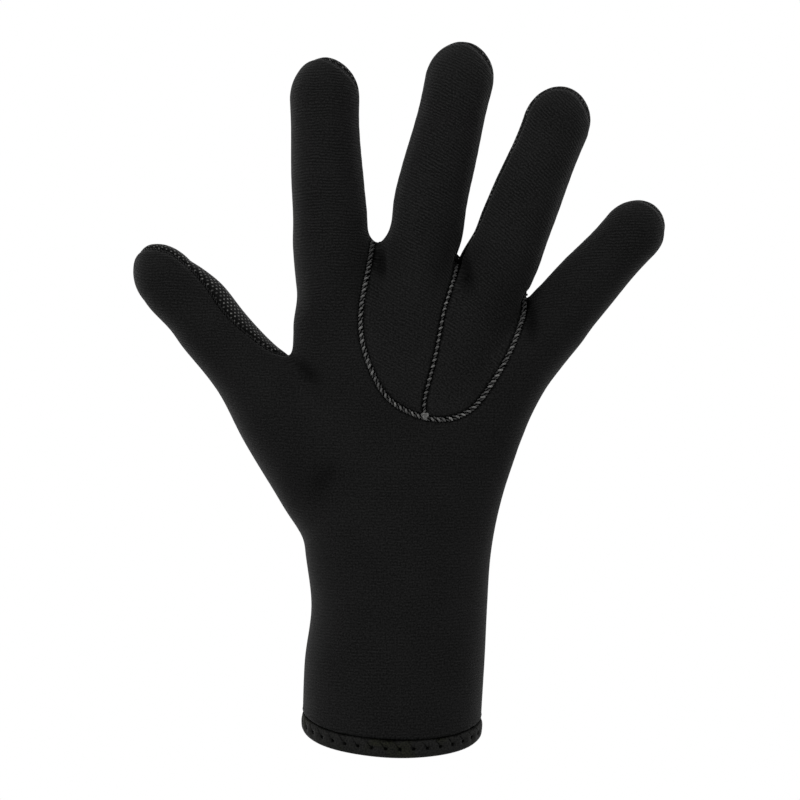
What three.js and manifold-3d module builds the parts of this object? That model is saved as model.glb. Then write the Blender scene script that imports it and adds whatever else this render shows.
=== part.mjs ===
// A right-hand five-finger neoprene glove in the full, rounded shape that it takes when it is worn.
// Millimetres. +Z runs from the cuff to the fingertips, +X to the little finger, +Y to the palm side,
// and the origin is the middle of the cuff's opening, where a wrist goes in.

import * as THREE from "three";
import { mergeVertices } from "three/addons/utils/BufferGeometryUtils.js";
import Module from "manifold-3d";

const wasm = await Module();
wasm.setup();

// Sheet and seams
const SHEET = 2.5; // neoprene with knitted nylon on both faces
const SEAM_GAP = 0.4; // the open line between two panels that are sewn edge to edge
const SEAM_REACH = 6; // how far the tools that part the panels stand out of the sheet

// Hand and cuff
const HAND_HEIGHT = 178; // cuff opening to the top of the knuckles
const HAND_HALF_WIDTH = 42;
const HAND_HALF_DEPTH = 20;
const OPENING_TILT = 7; // degrees that the opening drops towards the back of the hand
const OPENING_ROLL = 2; // degrees that it drops towards the little finger
const HAND_SEAM_ULNAR = 32; // degrees from the little finger's side round to the palm
const HAND_SEAM_RADIAL = 148;

// Hem band
const HEM_HEIGHT = 6.5;
const HEM_SHEET = 3.2; // folded edge, thicker than the panels
const HEM_PROUD = 0.5; // how far the band stands out of the cuff
const HEM_FOLD_STEPS = 4; // facets round the folded lower edge

// Facets
const HAND_SIDES = 32;
const DIGIT_SIDES = 16;
const STEP_ALONG = 12; // distance between two sections
const DOME_STEPS = 3;
const DOME_SHARE = 1.2; // length of a round tip as a share of the digit's width
const WEDGE_SIDES = 12;

// The digits. across, width, depth, palmward and curl are shares of the hand's half width or half depth, up
// and length shares of HAND_HEIGHT. across and up place the digit's inner end, hidden in the hand, and length
// runs from there to the tip. width and depth are half sizes at mid finger. lean, rootLean and tipLean are
// degrees from vertical, towards the little finger, of the whole digit and its two ends. palmward is how far
// the inner end lies off the middle plane and curl how far the tip bends in from there. seamUlnar and
// seamRadial are where the digit's side seams run, in degrees from its ulnar side towards its palm side.
const DIGIT_SHARES = [
  { name: "index", across: -0.435, up: 0.782, length: 0.6742, width: 0.3119, depth: 0.595, lean: -3.8,
    rootLean: -6, tipLean: 0.5, palmward: 0, curl: 0.25, seamUlnar: -2, seamRadial: 146, form: "finger" },
  { name: "middle", across: 0.036, up: 0.81, length: 0.6955, width: 0.3071, depth: 0.595, lean: 12.8,
    rootLean: 11, tipLean: 14, palmward: 0, curl: 0.3, seamUlnar: 2, seamRadial: 184, form: "finger" },
  { name: "ring", across: 0.53, up: 0.788, length: 0.6539, width: 0.3, depth: 0.58, lean: 23.1,
    rootLean: 24, tipLean: 21, palmward: 0, curl: 0.3, seamUlnar: 2, seamRadial: 196, form: "finger" },
  { name: "little", across: 0.89, up: 0.697, length: 0.564, width: 0.2762, depth: 0.54, lean: 39,
    rootLean: 28, tipLean: 41, palmward: 0.05, curl: 0.25, seamUlnar: 34, seamRadial: 184, form: "finger" },
  { name: "thumb", across: -0.31, up: 0.444, length: 0.7596, width: 0.3048, depth: 0.595, lean: -38.7,
    rootLean: -24, tipLean: -42, palmward: 0.2, curl: 0.2, seamUlnar: -32, seamRadial: 140, form: "thumb" },
];
const DIGITS = DIGIT_SHARES.map((row) => ({
  ...row,
  length: row.length * HAND_HEIGHT,
  width: row.width * HAND_HALF_WIDTH,
  depth: row.depth * HAND_HALF_DEPTH,
  palmward: row.palmward * HAND_HALF_DEPTH,
  curl: row.curl * HAND_HALF_DEPTH,
}));

// Sections of a digit from its inner end to where its round tip starts. along is a share of its length,
// wide and deep are shares of its width and depth.
const DIGIT_SECTIONS = {
  finger: [
    { along: 0.0, wide: 1.02, deep: 1.2 },
    { along: 0.22, wide: 1.14, deep: 1.36 },
    { along: 0.4, wide: 1.17, deep: 1.18 },
    { along: 0.5, wide: 1.09, deep: 1.08 },
    { along: 0.62, wide: 1.05, deep: 1.04 },
    { along: 0.78, wide: 0.99, deep: 0.98 },
    { along: 0.9, wide: 1.02, deep: 0.95 },
  ],
  thumb: [
    { along: 0.0, wide: 1.3, deep: 1.0 },
    { along: 0.1, wide: 1.6, deep: 1.35 },
    { along: 0.24, wide: 1.58, deep: 1.62 },
    { along: 0.4, wide: 1.43, deep: 1.48 },
    { along: 0.56, wide: 1.1, deep: 1.2 },
    { along: 0.74, wide: 1.02, deep: 1.04 },
    { along: 0.9, wide: 0.9, deep: 0.92 },
  ],
};

// Sections of the hand from the opening up. up is a share of HAND_HEIGHT. radial and ulnar are shares of
// HAND_HALF_WIDTH to the thumb's side and the little finger's. back and palm are shares of HAND_HALF_DEPTH.
const HAND_SECTIONS = [
  { up: -0.12, radial: 0.82, ulnar: 0.8, back: 1.3, palm: 1.24 },
  { up: 0.0, radial: 0.82, ulnar: 0.805, back: 1.3, palm: 1.24 },
  { up: 0.16, radial: 0.795, ulnar: 0.825, back: 1.24, palm: 1.2 },
  { up: 0.28, radial: 0.74, ulnar: 0.85, back: 1.16, palm: 1.14 },
  { up: 0.4, radial: 0.8, ulnar: 0.895, back: 1.06, palm: 1.12 },
  { up: 0.52, radial: 0.84, ulnar: 0.995, back: 0.99, palm: 1.14 },
  { up: 0.65, radial: 0.9, ulnar: 1.175, back: 0.95, palm: 1.08 },
  { up: 0.77, radial: 0.92, ulnar: 1.3, back: 0.9, palm: 0.94 },
  { up: 0.87, radial: 0.89, ulnar: 1.24, back: 0.82, palm: 0.84 },
];

// The knuckle inset is a tongue on the back of the hand, parted down its middle. Its upper corners are the
// two outer crotches between the fingers. across is a share of its breadth from the radial corner, and down
// a share of its length, from the middle crotch to the foot of the tongue.
const INSET_FOOT_UP = 0.687; // share of HAND_HEIGHT
const INSET_EDGE = [
  { across: 0.0, down: -0.06 },
  { across: -0.03, down: 0.06 },
  { across: -0.075, down: 0.24 },
  { across: -0.085, down: 0.4 },
  { across: -0.05, down: 0.58 },
  { across: 0.005, down: 0.74 },
  { across: 0.11, down: 0.88 },
  { across: 0.22, down: 0.96 },
  { across: 0.34, down: 1.0 },
  { across: 0.46, down: 1.0 },
  { across: 0.58, down: 0.97 },
  { across: 0.69, down: 0.89 },
  { across: 0.8, down: 0.73 },
  { across: 0.885, down: 0.57 },
  { across: 0.955, down: 0.4 },
  { across: 0.985, down: 0.27 },
  { across: 1.0, down: 0.21 },
];
const INSET_MIDDLE = [
  { across: 0.555, down: 0.0 },
  { across: 0.54, down: 0.1 },
  { across: 0.5, down: 0.3 },
  { across: 0.455, down: 0.55 },
  { across: 0.4, down: 0.78 },
  { across: 0.355, down: 0.9 },
  { across: 0.345, down: 1.0 },
];

const UP = new THREE.Vector3(0, 0, 1);
const PALMWARD = new THREE.Vector3(0, 1, 0);
const radians = THREE.MathUtils.degToRad;

// The smooth value of one column of a table at a place along it.
function sectionValue(rows, place, column, at) {
  let i = 0;
  while (i < rows.length - 2 && rows[i + 1][place] < at) i += 1;
  const from = rows[i];
  const to = rows[i + 1];
  const before = rows[Math.max(i - 1, 0)];
  const after = rows[Math.min(i + 2, rows.length - 1)];
  const span = to[place] - from[place];
  const t = THREE.MathUtils.clamp((at - from[place]) / span, 0, 1);
  const slopeFrom = ((to[column] - before[column]) / (to[place] - before[place])) * span;
  const slopeTo = ((after[column] - from[column]) / (after[place] - from[place])) * span;
  const a = 2 * t ** 3 - 3 * t ** 2 + 1;
  const b = t ** 3 - 2 * t ** 2 + t;
  const c = -2 * t ** 3 + 3 * t ** 2;
  const d = t ** 3 - t ** 2;
  return a * from[column] + b * slopeFrom + c * to[column] + d * slopeTo;
}

// A closed solid over rings of the same number of points, each end closed by a fan round the ring's middle.
function loft(rings) {
  const sides = rings[0].length;
  const points = rings.flat();
  const middle = (ring) => ring.reduce((sum, p) => sum.add(p), new THREE.Vector3()).divideScalar(sides);
  points.push(middle(rings[0]), middle(rings[rings.length - 1]));
  const triangles = [];
  for (let r = 0; r < rings.length - 1; r += 1) {
    for (let s = 0; s < sides; s += 1) {
      const a = r * sides + s;
      const b = r * sides + ((s + 1) % sides);
      triangles.push(a, b, b + sides, a, b + sides, a + sides);
    }
  }
  const last = (rings.length - 1) * sides;
  for (let s = 0; s < sides; s += 1) {
    const next = (s + 1) % sides;
    triangles.push(rings.length * sides, next, s);
    triangles.push(rings.length * sides + 1, last + s, last + next);
  }
  const geometry = new THREE.BufferGeometry().setFromPoints(points);
  geometry.setIndex(triangles);
  return geometry;
}

function solidOf(geometry) {
  const bare = new THREE.BufferGeometry();
  bare.setAttribute("position", geometry.getAttribute("position").clone());
  bare.setIndex(geometry.index ? geometry.index.clone() : null);
  const merged = mergeVertices(bare, 1e-4);
  const solid = new wasm.Manifold(
    new wasm.Mesh({
      numProp: 3,
      vertProperties: merged.attributes.position.array,
      triVerts: new Uint32Array(merged.index.array),
    }),
  );
  return solid;
}

function geometryOf(solid) {
  const mesh = solid.getMesh();
  const geometry = new THREE.BufferGeometry();
  geometry.setAttribute("position", new THREE.BufferAttribute(mesh.vertProperties, mesh.numProp));
  geometry.setIndex(new THREE.BufferAttribute(mesh.triVerts, 1));
  geometry.computeVertexNormals();
  return geometry;
}

const unionOf = (solids) => solids.reduce((sum, solid) => sum.add(solid));

// One finger or the thumb: a curved spine with an oval section that ends in a round tip.
class Digit {
  constructor(row) {
    this.row = row;
    const toward = (degrees, length) =>
      new THREE.Vector3(Math.sin(radians(degrees)) * length, 0, Math.cos(radians(degrees)) * length);
    const root = new THREE.Vector3(row.across * HAND_HALF_WIDTH, row.palmward, row.up * HAND_HEIGHT);
    const tip = root.clone().add(toward(row.lean, row.length)).setY(row.palmward + row.curl);
    const third = row.length / 3;
    this.spine = new THREE.CubicBezierCurve3(
      root,
      root.clone().add(toward(row.rootLean, third)),
      tip.clone().sub(toward(row.tipLean, third)).setY(row.palmward + row.curl / 3),
      tip,
    );
    this.domeStart = 1 - (DOME_SHARE * row.width) / row.length;
  }

  // The spine's point, the directions across and palmward, and the half sizes, with offset added to them.
  section(along, offset = 0) {
    const { row } = this;
    const tangent = this.spine.getTangentAt(Math.min(along, 1));
    const side = new THREE.Vector3().crossVectors(PALMWARD, tangent).normalize();
    const palmward = new THREE.Vector3().crossVectors(tangent, side);
    const point = this.spine.getPointAt(Math.min(along, 1));
    point.addScaledVector(tangent, Math.max(along - 1, 0) * row.length);
    const rows = DIGIT_SECTIONS[row.form];
    const held = Math.min(along, rows[rows.length - 1].along);
    const end = 1 + offset / row.length;
    const round = Math.max((along - this.domeStart) / (end - this.domeStart), 0);
    const shrink = Math.sqrt(Math.max(1 - round ** 2, 0));
    const wide = (sectionValue(rows, "along", "wide", held) * row.width + offset) * shrink;
    const deep = (sectionValue(rows, "along", "deep", held) * row.depth + offset) * shrink;
    return { point, side, palmward, wide, deep };
  }

  // Places along the digit where it has a section: even steps, then closer ones round the tip.
  stations(offset) {
    const end = 1 + offset / this.row.length;
    const steps = Math.ceil((this.domeStart * this.row.length) / STEP_ALONG);
    const shaft = Array.from({ length: steps }, (_, i) => (i / steps) * this.domeStart);
    const dome = Array.from({ length: DOME_STEPS + 1 }, (_, i) => {
      const share = Math.sin(((i / (DOME_STEPS + 0.35)) * Math.PI) / 2);
      return this.domeStart + share * (end - this.domeStart);
    });
    return [...shaft, ...dome];
  }

  body(offset = 0) {
    const rings = this.stations(offset).map((along) => {
      const { point, side, palmward, wide, deep } = this.section(along, offset);
      return Array.from({ length: DIGIT_SIDES }, (_, i) => {
        const angle = (i / DIGIT_SIDES) * 2 * Math.PI;
        return point
          .clone()
          .addScaledVector(side, wide * Math.cos(angle))
          .addScaledVector(palmward, deep * Math.sin(angle));
      });
    });
    return solidOf(loft(rings));
  }

  // The wedge on the palm side of the digit's two seams, drawn in by gap.
  palmTool(gap) {
    const reach = SEAM_REACH - gap;
    const [first, ...rest] = this.stations(reach);
    const rings = [first + gap / this.row.length, ...rest].map((along) => {
      const { point, side, palmward, wide, deep } = this.section(along, reach);
      const { seamUlnar, seamRadial } = this.row;
      return wedge({ point, side, palmward, ulnar: wide, radial: wide, deep, seamUlnar, seamRadial, gap });
    });
    return solidOf(loft(rings));
  }
}

// A pie-shaped ring from a section's middle to an arc between two seams, its sides moved in by gap.
function wedge({ point, side, palmward, ulnar, radial, deep, seamUlnar, seamRadial, gap }) {
  const halfAngle = radians(seamRadial - seamUlnar) / 2;
  const middle = radians(seamUlnar) + halfAngle;
  const inward = gap / Math.sin(halfAngle);
  const apex = point
    .clone()
    .addScaledVector(side, inward * Math.cos(middle))
    .addScaledVector(palmward, inward * Math.sin(middle));
  const arc = Array.from({ length: WEDGE_SIDES + 1 }, (_, i) => {
    const angle = radians(THREE.MathUtils.lerp(seamUlnar, seamRadial, i / WEDGE_SIDES));
    const wide = Math.cos(angle) > 0 ? ulnar : radial;
    return apex
      .clone()
      .addScaledVector(side, wide * Math.cos(angle))
      .addScaledVector(palmward, deep * Math.sin(angle));
  });
  return [apex, ...arc];
}

const HAND_SIDE = new THREE.Vector3(1, 0, 0);
const HAND_TOP = HAND_SECTIONS[HAND_SECTIONS.length - 1].up;
const HAND_START = HAND_SECTIONS[0].up;

function handStations(offset) {
  const steps = Math.ceil(((HAND_TOP - HAND_START) * HAND_HEIGHT) / STEP_ALONG);
  const shaft = Array.from({ length: steps }, (_, i) => HAND_START + (i / steps) * (HAND_TOP - HAND_START));
  const end = 1 + offset / HAND_HEIGHT;
  const dome = Array.from({ length: DOME_STEPS + 1 }, (_, i) => {
    const share = Math.sin(((i / (DOME_STEPS + 0.35)) * Math.PI) / 2);
    return HAND_TOP + share * (end - HAND_TOP);
  });
  return [...shaft, ...dome];
}

function handSection(up, offset) {
  const value = (column) => sectionValue(HAND_SECTIONS, "up", column, Math.min(up, HAND_TOP));
  const round = Math.max((up - HAND_TOP) / (1 + offset / HAND_HEIGHT - HAND_TOP), 0);
  const shrink = Math.sqrt(Math.max(1 - round ** 2, 0));
  return {
    point: new THREE.Vector3(0, 0, up * HAND_HEIGHT),
    ulnar: (value("ulnar") * HAND_HALF_WIDTH + offset) * shrink,
    radial: (value("radial") * HAND_HALF_WIDTH + offset) * shrink,
    back: (value("back") * HAND_HALF_DEPTH + offset) * shrink,
    palm: (value("palm") * HAND_HALF_DEPTH + offset) * shrink,
  };
}

// A point on the hand's outline. angle is 0 at the little finger's side and 90 degrees at the palm.
function handPoint(angle, up, offset) {
  const { point, ulnar, radial, back, palm } = handSection(up, offset);
  const wide = Math.cos(angle) > 0 ? ulnar : radial;
  const deep = Math.sin(angle) > 0 ? palm : back;
  return point
    .addScaledVector(HAND_SIDE, wide * Math.cos(angle))
    .addScaledVector(PALMWARD, deep * Math.sin(angle));
}

const handAngles = Array.from({ length: HAND_SIDES }, (_, i) => (i / HAND_SIDES) * 2 * Math.PI);

// The hand without its digits, from below the opening to the knuckles.
function handBody(offset = 0) {
  const rings = handStations(offset).map((up) => handAngles.map((angle) => handPoint(angle, up, offset)));
  return solidOf(loft(rings));
}

// The wedge on the palm side of the hand's two seams, drawn in by gap.
function handPalmTool(gap) {
  const reach = SEAM_REACH - gap;
  const rings = handStations(reach).map((up) => {
    const { point, ulnar, radial, palm } = handSection(up, reach);
    return wedge({
      point,
      side: HAND_SIDE,
      palmward: PALMWARD,
      ulnar,
      radial,
      deep: palm,
      seamUlnar: HAND_SEAM_ULNAR,
      seamRadial: HAND_SEAM_RADIAL,
      gap,
    });
  });
  return solidOf(loft(rings));
}

const openingTurn = new THREE.Euler(radians(OPENING_TILT), radians(OPENING_ROLL), 0);
const OPENING_NORMAL = UP.clone().applyEuler(openingTurn);

// Everything below a plane that lies in the tilted opening, raised by height.
function belowOpening(height) {
  const size = 4 * HAND_HALF_WIDTH;
  const box = new THREE.BoxGeometry(size, size, size);
  box.translate(0, 0, height - size / 2);
  box.applyMatrix4(new THREE.Matrix4().makeRotationFromEuler(openingTurn));
  return solidOf(box);
}

const digits = DIGITS.map((row) => new Digit(row));
const digitNamed = (name) => digits.find((digit) => digit.row.name === name);

function gloveForm(offset) {
  return unionOf([handBody(offset), ...digits.map((digit) => digit.body(offset))]);
}

// The lowest point between two neighbouring fingers where their sides part.
function crotch(radialName, ulnarName) {
  const [a, b] = [digitNamed(radialName), digitNamed(ulnarName)];
  const steps = 400;
  for (let i = 0; i < steps; i += 1) {
    const from = a.section(i / steps);
    const to = nearestSection(b, from.point);
    const apart = to.point.clone().sub(from.point);
    if (apart.length() > from.wide + to.wide) {
      return from.point.clone().addScaledVector(apart.normalize(), from.wide);
    }
  }
  throw new Error(`${radialName} and ${ulnarName} never part`);
}

function nearestSection(digit, point) {
  const steps = 200;
  const sections = Array.from({ length: steps }, (_, i) => digit.section(i / steps));
  const distance = (section) => section.point.distanceToSquared(point);
  return sections.reduce((best, section) => (distance(section) < distance(best) ? section : best));
}

// The knuckle inset's corners and size, and its two cuts, drawn on the XZ plane.
const radialCrotch = crotch("index", "middle");
const middleCrotch = crotch("middle", "ring");
const ulnarCrotch = crotch("ring", "little");
const insetBreadth = ulnarCrotch.x - radialCrotch.x;
const insetFoot = INSET_FOOT_UP * HAND_HEIGHT;

function insetPoints(rows) {
  const top = middleCrotch.z;
  return rows.map(
    ({ across, down }) =>
      new THREE.Vector2(radialCrotch.x + across * insetBreadth, THREE.MathUtils.lerp(top, insetFoot, down)),
  );
}

// Points along a smooth curve, moved sideways by an offset to the left of its direction.
function besideCurve(points, offset, count = 24) {
  const curve = new THREE.SplineCurve(points);
  return Array.from({ length: count + 1 }, (_, i) => {
    const tangent = curve.getTangent(i / count);
    return curve.getPoint(i / count).add(new THREE.Vector2(-tangent.y, tangent.x).multiplyScalar(offset));
  });
}

// A prism through the fingers over an outline on the XZ plane.
function prismThrough(outline) {
  const depth = 6 * HAND_HALF_DEPTH;
  const shape = new THREE.Shape(outline);
  const prism = new THREE.ExtrudeGeometry(shape, { depth, bevelEnabled: false, steps: 1 });
  prism.rotateX(Math.PI / 2);
  prism.translate(0, depth / 2, 0);
  return solidOf(prism);
}

// Where two fingers diverge, the bisecting direction runs up the open space between them.
function gapDirection(radialName, ulnarName) {
  const direction = (name) => digitNamed(name).spine.getTangentAt(0.8);
  const middle = direction(radialName).add(direction(ulnarName)).normalize();
  return new THREE.Vector2(middle.x, middle.z);
}

const corner = (point) => new THREE.Vector2(point.x, point.z);
const runOn = (point, direction, length) => corner(point).addScaledVector(direction, length);

// The outlines of the inset's two halves, each drawn out past the fingertips.
function insetOutlines(gap) {
  const reach = 1.2 * DIGITS[1].length;
  const edge = besideCurve(insetPoints(INSET_EDGE), gap);
  const parting = insetPoints(INSET_MIDDLE);
  const foot = parting[parting.length - 1];
  foot.y += gap;
  const fromFoot = edge.map((point) => point.distanceTo(foot));
  const footIndex = fromFoot.indexOf(Math.min(...fromFoot));
  const radialTop = runOn(radialCrotch, gapDirection("index", "middle"), reach);
  const middleTop = runOn(middleCrotch, gapDirection("middle", "ring"), reach);
  const ulnarTop = runOn(ulnarCrotch, gapDirection("ring", "little"), reach);
  const shift = (points, offset) => besideCurve(points, offset, 10);
  const middleRadial = shift(parting, -gap / 2);
  const middleUlnar = shift(parting, gap / 2);
  const halfGap = new THREE.Vector2(gap / 2, 0);
  const wholeGap = new THREE.Vector2(gap, 0);
  const middleHalf = [
    radialTop.clone().add(wholeGap),
    ...edge.slice(0, footIndex),
    ...middleRadial.reverse(),
    middleTop.clone().sub(halfGap),
  ];
  const ringHalf = [
    middleTop.clone().add(halfGap),
    ...middleUlnar,
    ...edge.slice(footIndex + 1),
    ulnarTop.clone().sub(wholeGap),
  ];
  return { middleHalf, ringHalf };
}

// The place on the hand's outline at a height above the tilted opening.
function rimPoint(angle, offset, height) {
  let up = height / HAND_HEIGHT;
  let point = handPoint(angle, up, offset);
  for (let i = 0; i < 5; i += 1) {
    up += (height - point.dot(OPENING_NORMAL)) / HAND_HEIGHT;
    point = handPoint(angle, up, offset);
  }
  return point;
}

// The folded band round the opening: one section of it, led round the hand's outline.
function hemBand() {
  const radius = HEM_SHEET / 2;
  const top = HEM_HEIGHT - SEAM_GAP;
  const fold = Array.from({ length: HEM_FOLD_STEPS + 1 }, (_, i) => {
    const turn = (i / HEM_FOLD_STEPS) * Math.PI;
    return { out: HEM_PROUD - radius + radius * Math.cos(turn), height: radius - radius * Math.sin(turn) };
  });
  const profile = [{ out: HEM_PROUD, height: top }, ...fold, { out: HEM_PROUD - HEM_SHEET, height: top }];
  const sectionAt = (angle) => profile.map(({ out, height }) => rimPoint(angle, out, height));
  const points = handAngles.flatMap(sectionAt);
  const triangles = [];
  const across = profile.length;
  for (let a = 0; a < HAND_SIDES; a += 1) {
    const next = (a + 1) % HAND_SIDES;
    for (let p = 0; p < across; p += 1) {
      const q = (p + 1) % across;
      const near = a * across;
      const far = next * across;
      triangles.push(near + p, near + q, far + q, near + p, far + q, far + p);
    }
  }
  const geometry = new THREE.BufferGeometry().setFromPoints(points);
  geometry.setIndex(triangles);
  return solidOf(geometry);
}

const shell = gloveForm(0).subtract(gloveForm(-SHEET)).subtract(belowOpening(HEM_HEIGHT));
const palmTool = (gap) => unionOf([handPalmTool(gap), ...digits.map((digit) => digit.palmTool(gap))]);
const backHalf = shell.subtract(palmTool(0));
const closed = insetOutlines(0);
const opened = insetOutlines(SEAM_GAP);
const middleCut = prismThrough(closed.middleHalf);
const ringCut = prismThrough(closed.ringHalf);

const solids = {
  back_panel: backHalf.subtract(middleCut.add(ringCut)),
  middle_finger_back: backHalf.intersect(prismThrough(opened.middleHalf)),
  ring_finger_back: backHalf.intersect(prismThrough(opened.ringHalf)),
  palm_panel: shell.intersect(palmTool(SEAM_GAP)),
  cuff_hem: hemBand(),
};

const knit = new THREE.MeshStandardMaterial({ color: 0x1b1b1c, roughness: 0.9, metalness: 0 });
const grip = new THREE.MeshStandardMaterial({ color: 0x232322, roughness: 0.75, metalness: 0 });
const band = new THREE.MeshStandardMaterial({ color: 0x1e1e1d, roughness: 0.88, metalness: 0 });
const MATERIALS = { palm_panel: grip, cuff_hem: band };

const glove = new THREE.Group();
for (const [name, solid] of Object.entries(solids)) {
  const mesh = new THREE.Mesh(geometryOf(solid), MATERIALS[name] ?? knit);
  mesh.name = name;
  glove.add(mesh);
}

export default glove;
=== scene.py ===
"""A black neoprene glove, upright and filled out: knit-faced panels, sewn seams, a grip palm and a folded hem.

Lengths are in millimetres until a mesh is made, where MM turns them into metres. +X points to the little
finger, +Y to the palm side and +Z to the fingertips, and the origin is the middle of the cuff's opening.
"""

from __future__ import annotations

import logging
import math
from dataclasses import dataclass, field
from enum import Enum
from functools import cached_property, partial
from typing import Callable, NamedTuple

import bpy
import numpy as np
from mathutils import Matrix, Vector
from mathutils.kdtree import KDTree

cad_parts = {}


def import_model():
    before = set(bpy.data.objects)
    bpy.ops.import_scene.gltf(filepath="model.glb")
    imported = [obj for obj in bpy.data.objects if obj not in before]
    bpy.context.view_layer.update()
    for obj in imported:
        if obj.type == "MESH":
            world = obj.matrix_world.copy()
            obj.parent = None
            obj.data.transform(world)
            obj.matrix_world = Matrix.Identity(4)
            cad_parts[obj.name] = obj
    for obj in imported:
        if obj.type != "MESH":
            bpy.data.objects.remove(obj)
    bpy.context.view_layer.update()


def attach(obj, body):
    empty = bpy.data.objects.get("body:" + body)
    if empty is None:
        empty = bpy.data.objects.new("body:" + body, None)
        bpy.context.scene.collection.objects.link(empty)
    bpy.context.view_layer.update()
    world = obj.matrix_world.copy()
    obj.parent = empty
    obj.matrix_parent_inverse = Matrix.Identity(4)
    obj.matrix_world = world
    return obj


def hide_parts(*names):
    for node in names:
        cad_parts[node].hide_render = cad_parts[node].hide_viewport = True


MM = 0.001
TWO_PI = 2 * math.pi
FAR = 1e9
BLACK = (0.0, 0.0, 0.0, 1.0)

# Sizes of the hand that the glove is filled out to
HAND_HEIGHT = 178.0
HAND_HALF_WIDTH = 42.0
HAND_HALF_DEPTH = 20.0
HAND_SEAM_ULNAR = 32.0
HAND_SEAM_RADIAL = 148.0
SHEET = 2.5
DOME_SHARE = 1.2

# Opening and hem
OPENING_TILT = 7.0
OPENING_ROLL = 2.0
HEM_HEIGHT = 6.5
HEM_SHEET = 3.2
HEM_PROUD = 0.5
SIDE_LIFT = 2.3

# How far two forms run into each other where they meet. Fingers: index to middle, to ring, to little
FINGER_BLENDS = (9.5, 0.2, 1.6)
KNUCKLE_BLEND = 6.0
THUMB_BLEND = 4.6

# How far each finger crotch of the finished glove is above the place where the bare fingers part
CROTCH_RISE = (11.0, 2.0, 4.0)

# How far the palm's cloth comes over a fingertip onto the back, and how much wider it is beside the thumb
TIP_WRAP = 12.0
THUMB_TIP_WRAP = 4.0
THUMB_STRIP = 4.6

# Mesh sizes, and corners of the box that holds the whole glove
FINE_PITCH = 0.8
LINING_PITCH = 2.2
BOX_LOW = (-106.0, -32.0, -14.0)
BOX_HIGH = (110.0, 31.0, 270.0)

# Thread knot: half its width, and how bright it is from 0 to 1
KNOT_SIZE = 1.15
KNOT_BRIGHTNESS = 0.75

# How wide the sunken cloth is beside each kind of seam, against that beside the thick yoke seam
SIDE_SPREAD = 0.75
PARTING_SPREAD = 0.85
HEM_SPREAD = 0.36


class Node(Enum):
    """The sewn pieces, by the name of the CAD node that each stands for."""

    BACK = "back_panel"
    MIDDLE = "middle_finger_back"
    RING = "ring_finger_back"
    PALM = "palm_panel"
    HEM = "cuff_hem"


class Slot(Enum):
    """The record's material slots."""

    KNIT = "neoprene_knit"
    GRIP = "grip_neoprene"
    HEM = "hem_neoprene"


class HandRow(NamedTuple):
    """One section of the hand: a share of its height, then shares of its half width or half depth."""

    up: float
    radial: float
    ulnar: float
    back: float
    palm: float


class DigitRow(NamedTuple):
    """One section of a digit: a share of its length, then shares of its half width and half depth."""

    along: float
    wide: float
    deep: float


class Swell(NamedTuple):
    """A place where one side of a digit is fuller. side is 1 for the ulnar side and -1 for the radial one."""

    side: int
    share: float
    spread: float
    amount: float


class InsetRow(NamedTuple):
    """A point of the knuckle inset: shares of its breadth and of its length."""

    across: float
    down: float


HAND_ROWS = (
    HandRow(-0.12, 0.82, 0.775, 1.30, 1.24),
    HandRow(0.00, 0.82, 0.785, 1.30, 1.24),
    HandRow(0.16, 0.795, 0.825, 1.24, 1.20),
    HandRow(0.28, 0.74, 0.85, 1.16, 1.14),
    HandRow(0.40, 0.80, 0.895, 1.06, 1.12),
    HandRow(0.52, 0.84, 0.995, 0.99, 1.14),
    HandRow(0.65, 0.90, 1.175, 0.95, 1.08),
    HandRow(0.77, 0.92, 1.30, 0.90, 0.94),
    HandRow(0.87, 0.89, 1.24, 0.82, 0.84),
)
FINGER_ROWS = (
    DigitRow(0.00, 1.02, 1.20),
    DigitRow(0.22, 1.14, 1.36),
    DigitRow(0.40, 1.17, 1.18),
    DigitRow(0.50, 1.09, 1.08),
    DigitRow(0.62, 1.05, 1.04),
    DigitRow(0.78, 0.99, 0.98),
    DigitRow(0.90, 1.02, 0.95),
)
THUMB_ROWS = (
    DigitRow(0.00, 1.30, 1.00),
    DigitRow(0.10, 1.60, 1.35),
    DigitRow(0.24, 1.58, 1.62),
    DigitRow(0.40, 1.43, 1.48),
    DigitRow(0.56, 1.10, 1.20),
    DigitRow(0.74, 1.02, 1.04),
    DigitRow(0.90, 0.90, 0.92),
)
INSET_EDGE = (
    InsetRow(-0.008, -0.10),
    InsetRow(-0.022, 0.0),
    InsetRow(-0.045, 0.12),
    InsetRow(-0.072, 0.25),
    InsetRow(-0.085, 0.37),
    InsetRow(-0.08, 0.48),
    InsetRow(-0.058, 0.58),
    InsetRow(-0.03, 0.66),
    InsetRow(0.006, 0.737),
    InsetRow(0.048, 0.815),
    InsetRow(0.11, 0.885),
    InsetRow(0.197, 0.941),
    InsetRow(0.3, 0.982),
    InsetRow(0.4, 1.003),
    InsetRow(0.487, 1.005),
    InsetRow(0.564, 0.989),
    InsetRow(0.639, 0.955),
    InsetRow(0.708, 0.895),
    InsetRow(0.773, 0.81),
    InsetRow(0.835, 0.72),
    InsetRow(0.893, 0.625),
    InsetRow(0.943, 0.525),
    InsetRow(0.983, 0.421),
    InsetRow(1.012, 0.34),
    InsetRow(1.031, 0.226),
)
INSET_MIDDLE = (
    InsetRow(0.583, -0.03),
    InsetRow(0.56, 0.041),
    InsetRow(0.544, 0.11),
    InsetRow(0.51, 0.213),
    InsetRow(0.479, 0.304),
    InsetRow(0.454, 0.413),
    InsetRow(0.43, 0.54),
    InsetRow(0.408, 0.635),
    InsetRow(0.381, 0.735),
    InsetRow(0.354, 0.83),
    InsetRow(0.338, 0.91),
    InsetRow(0.346, 1.0),
)


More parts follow.
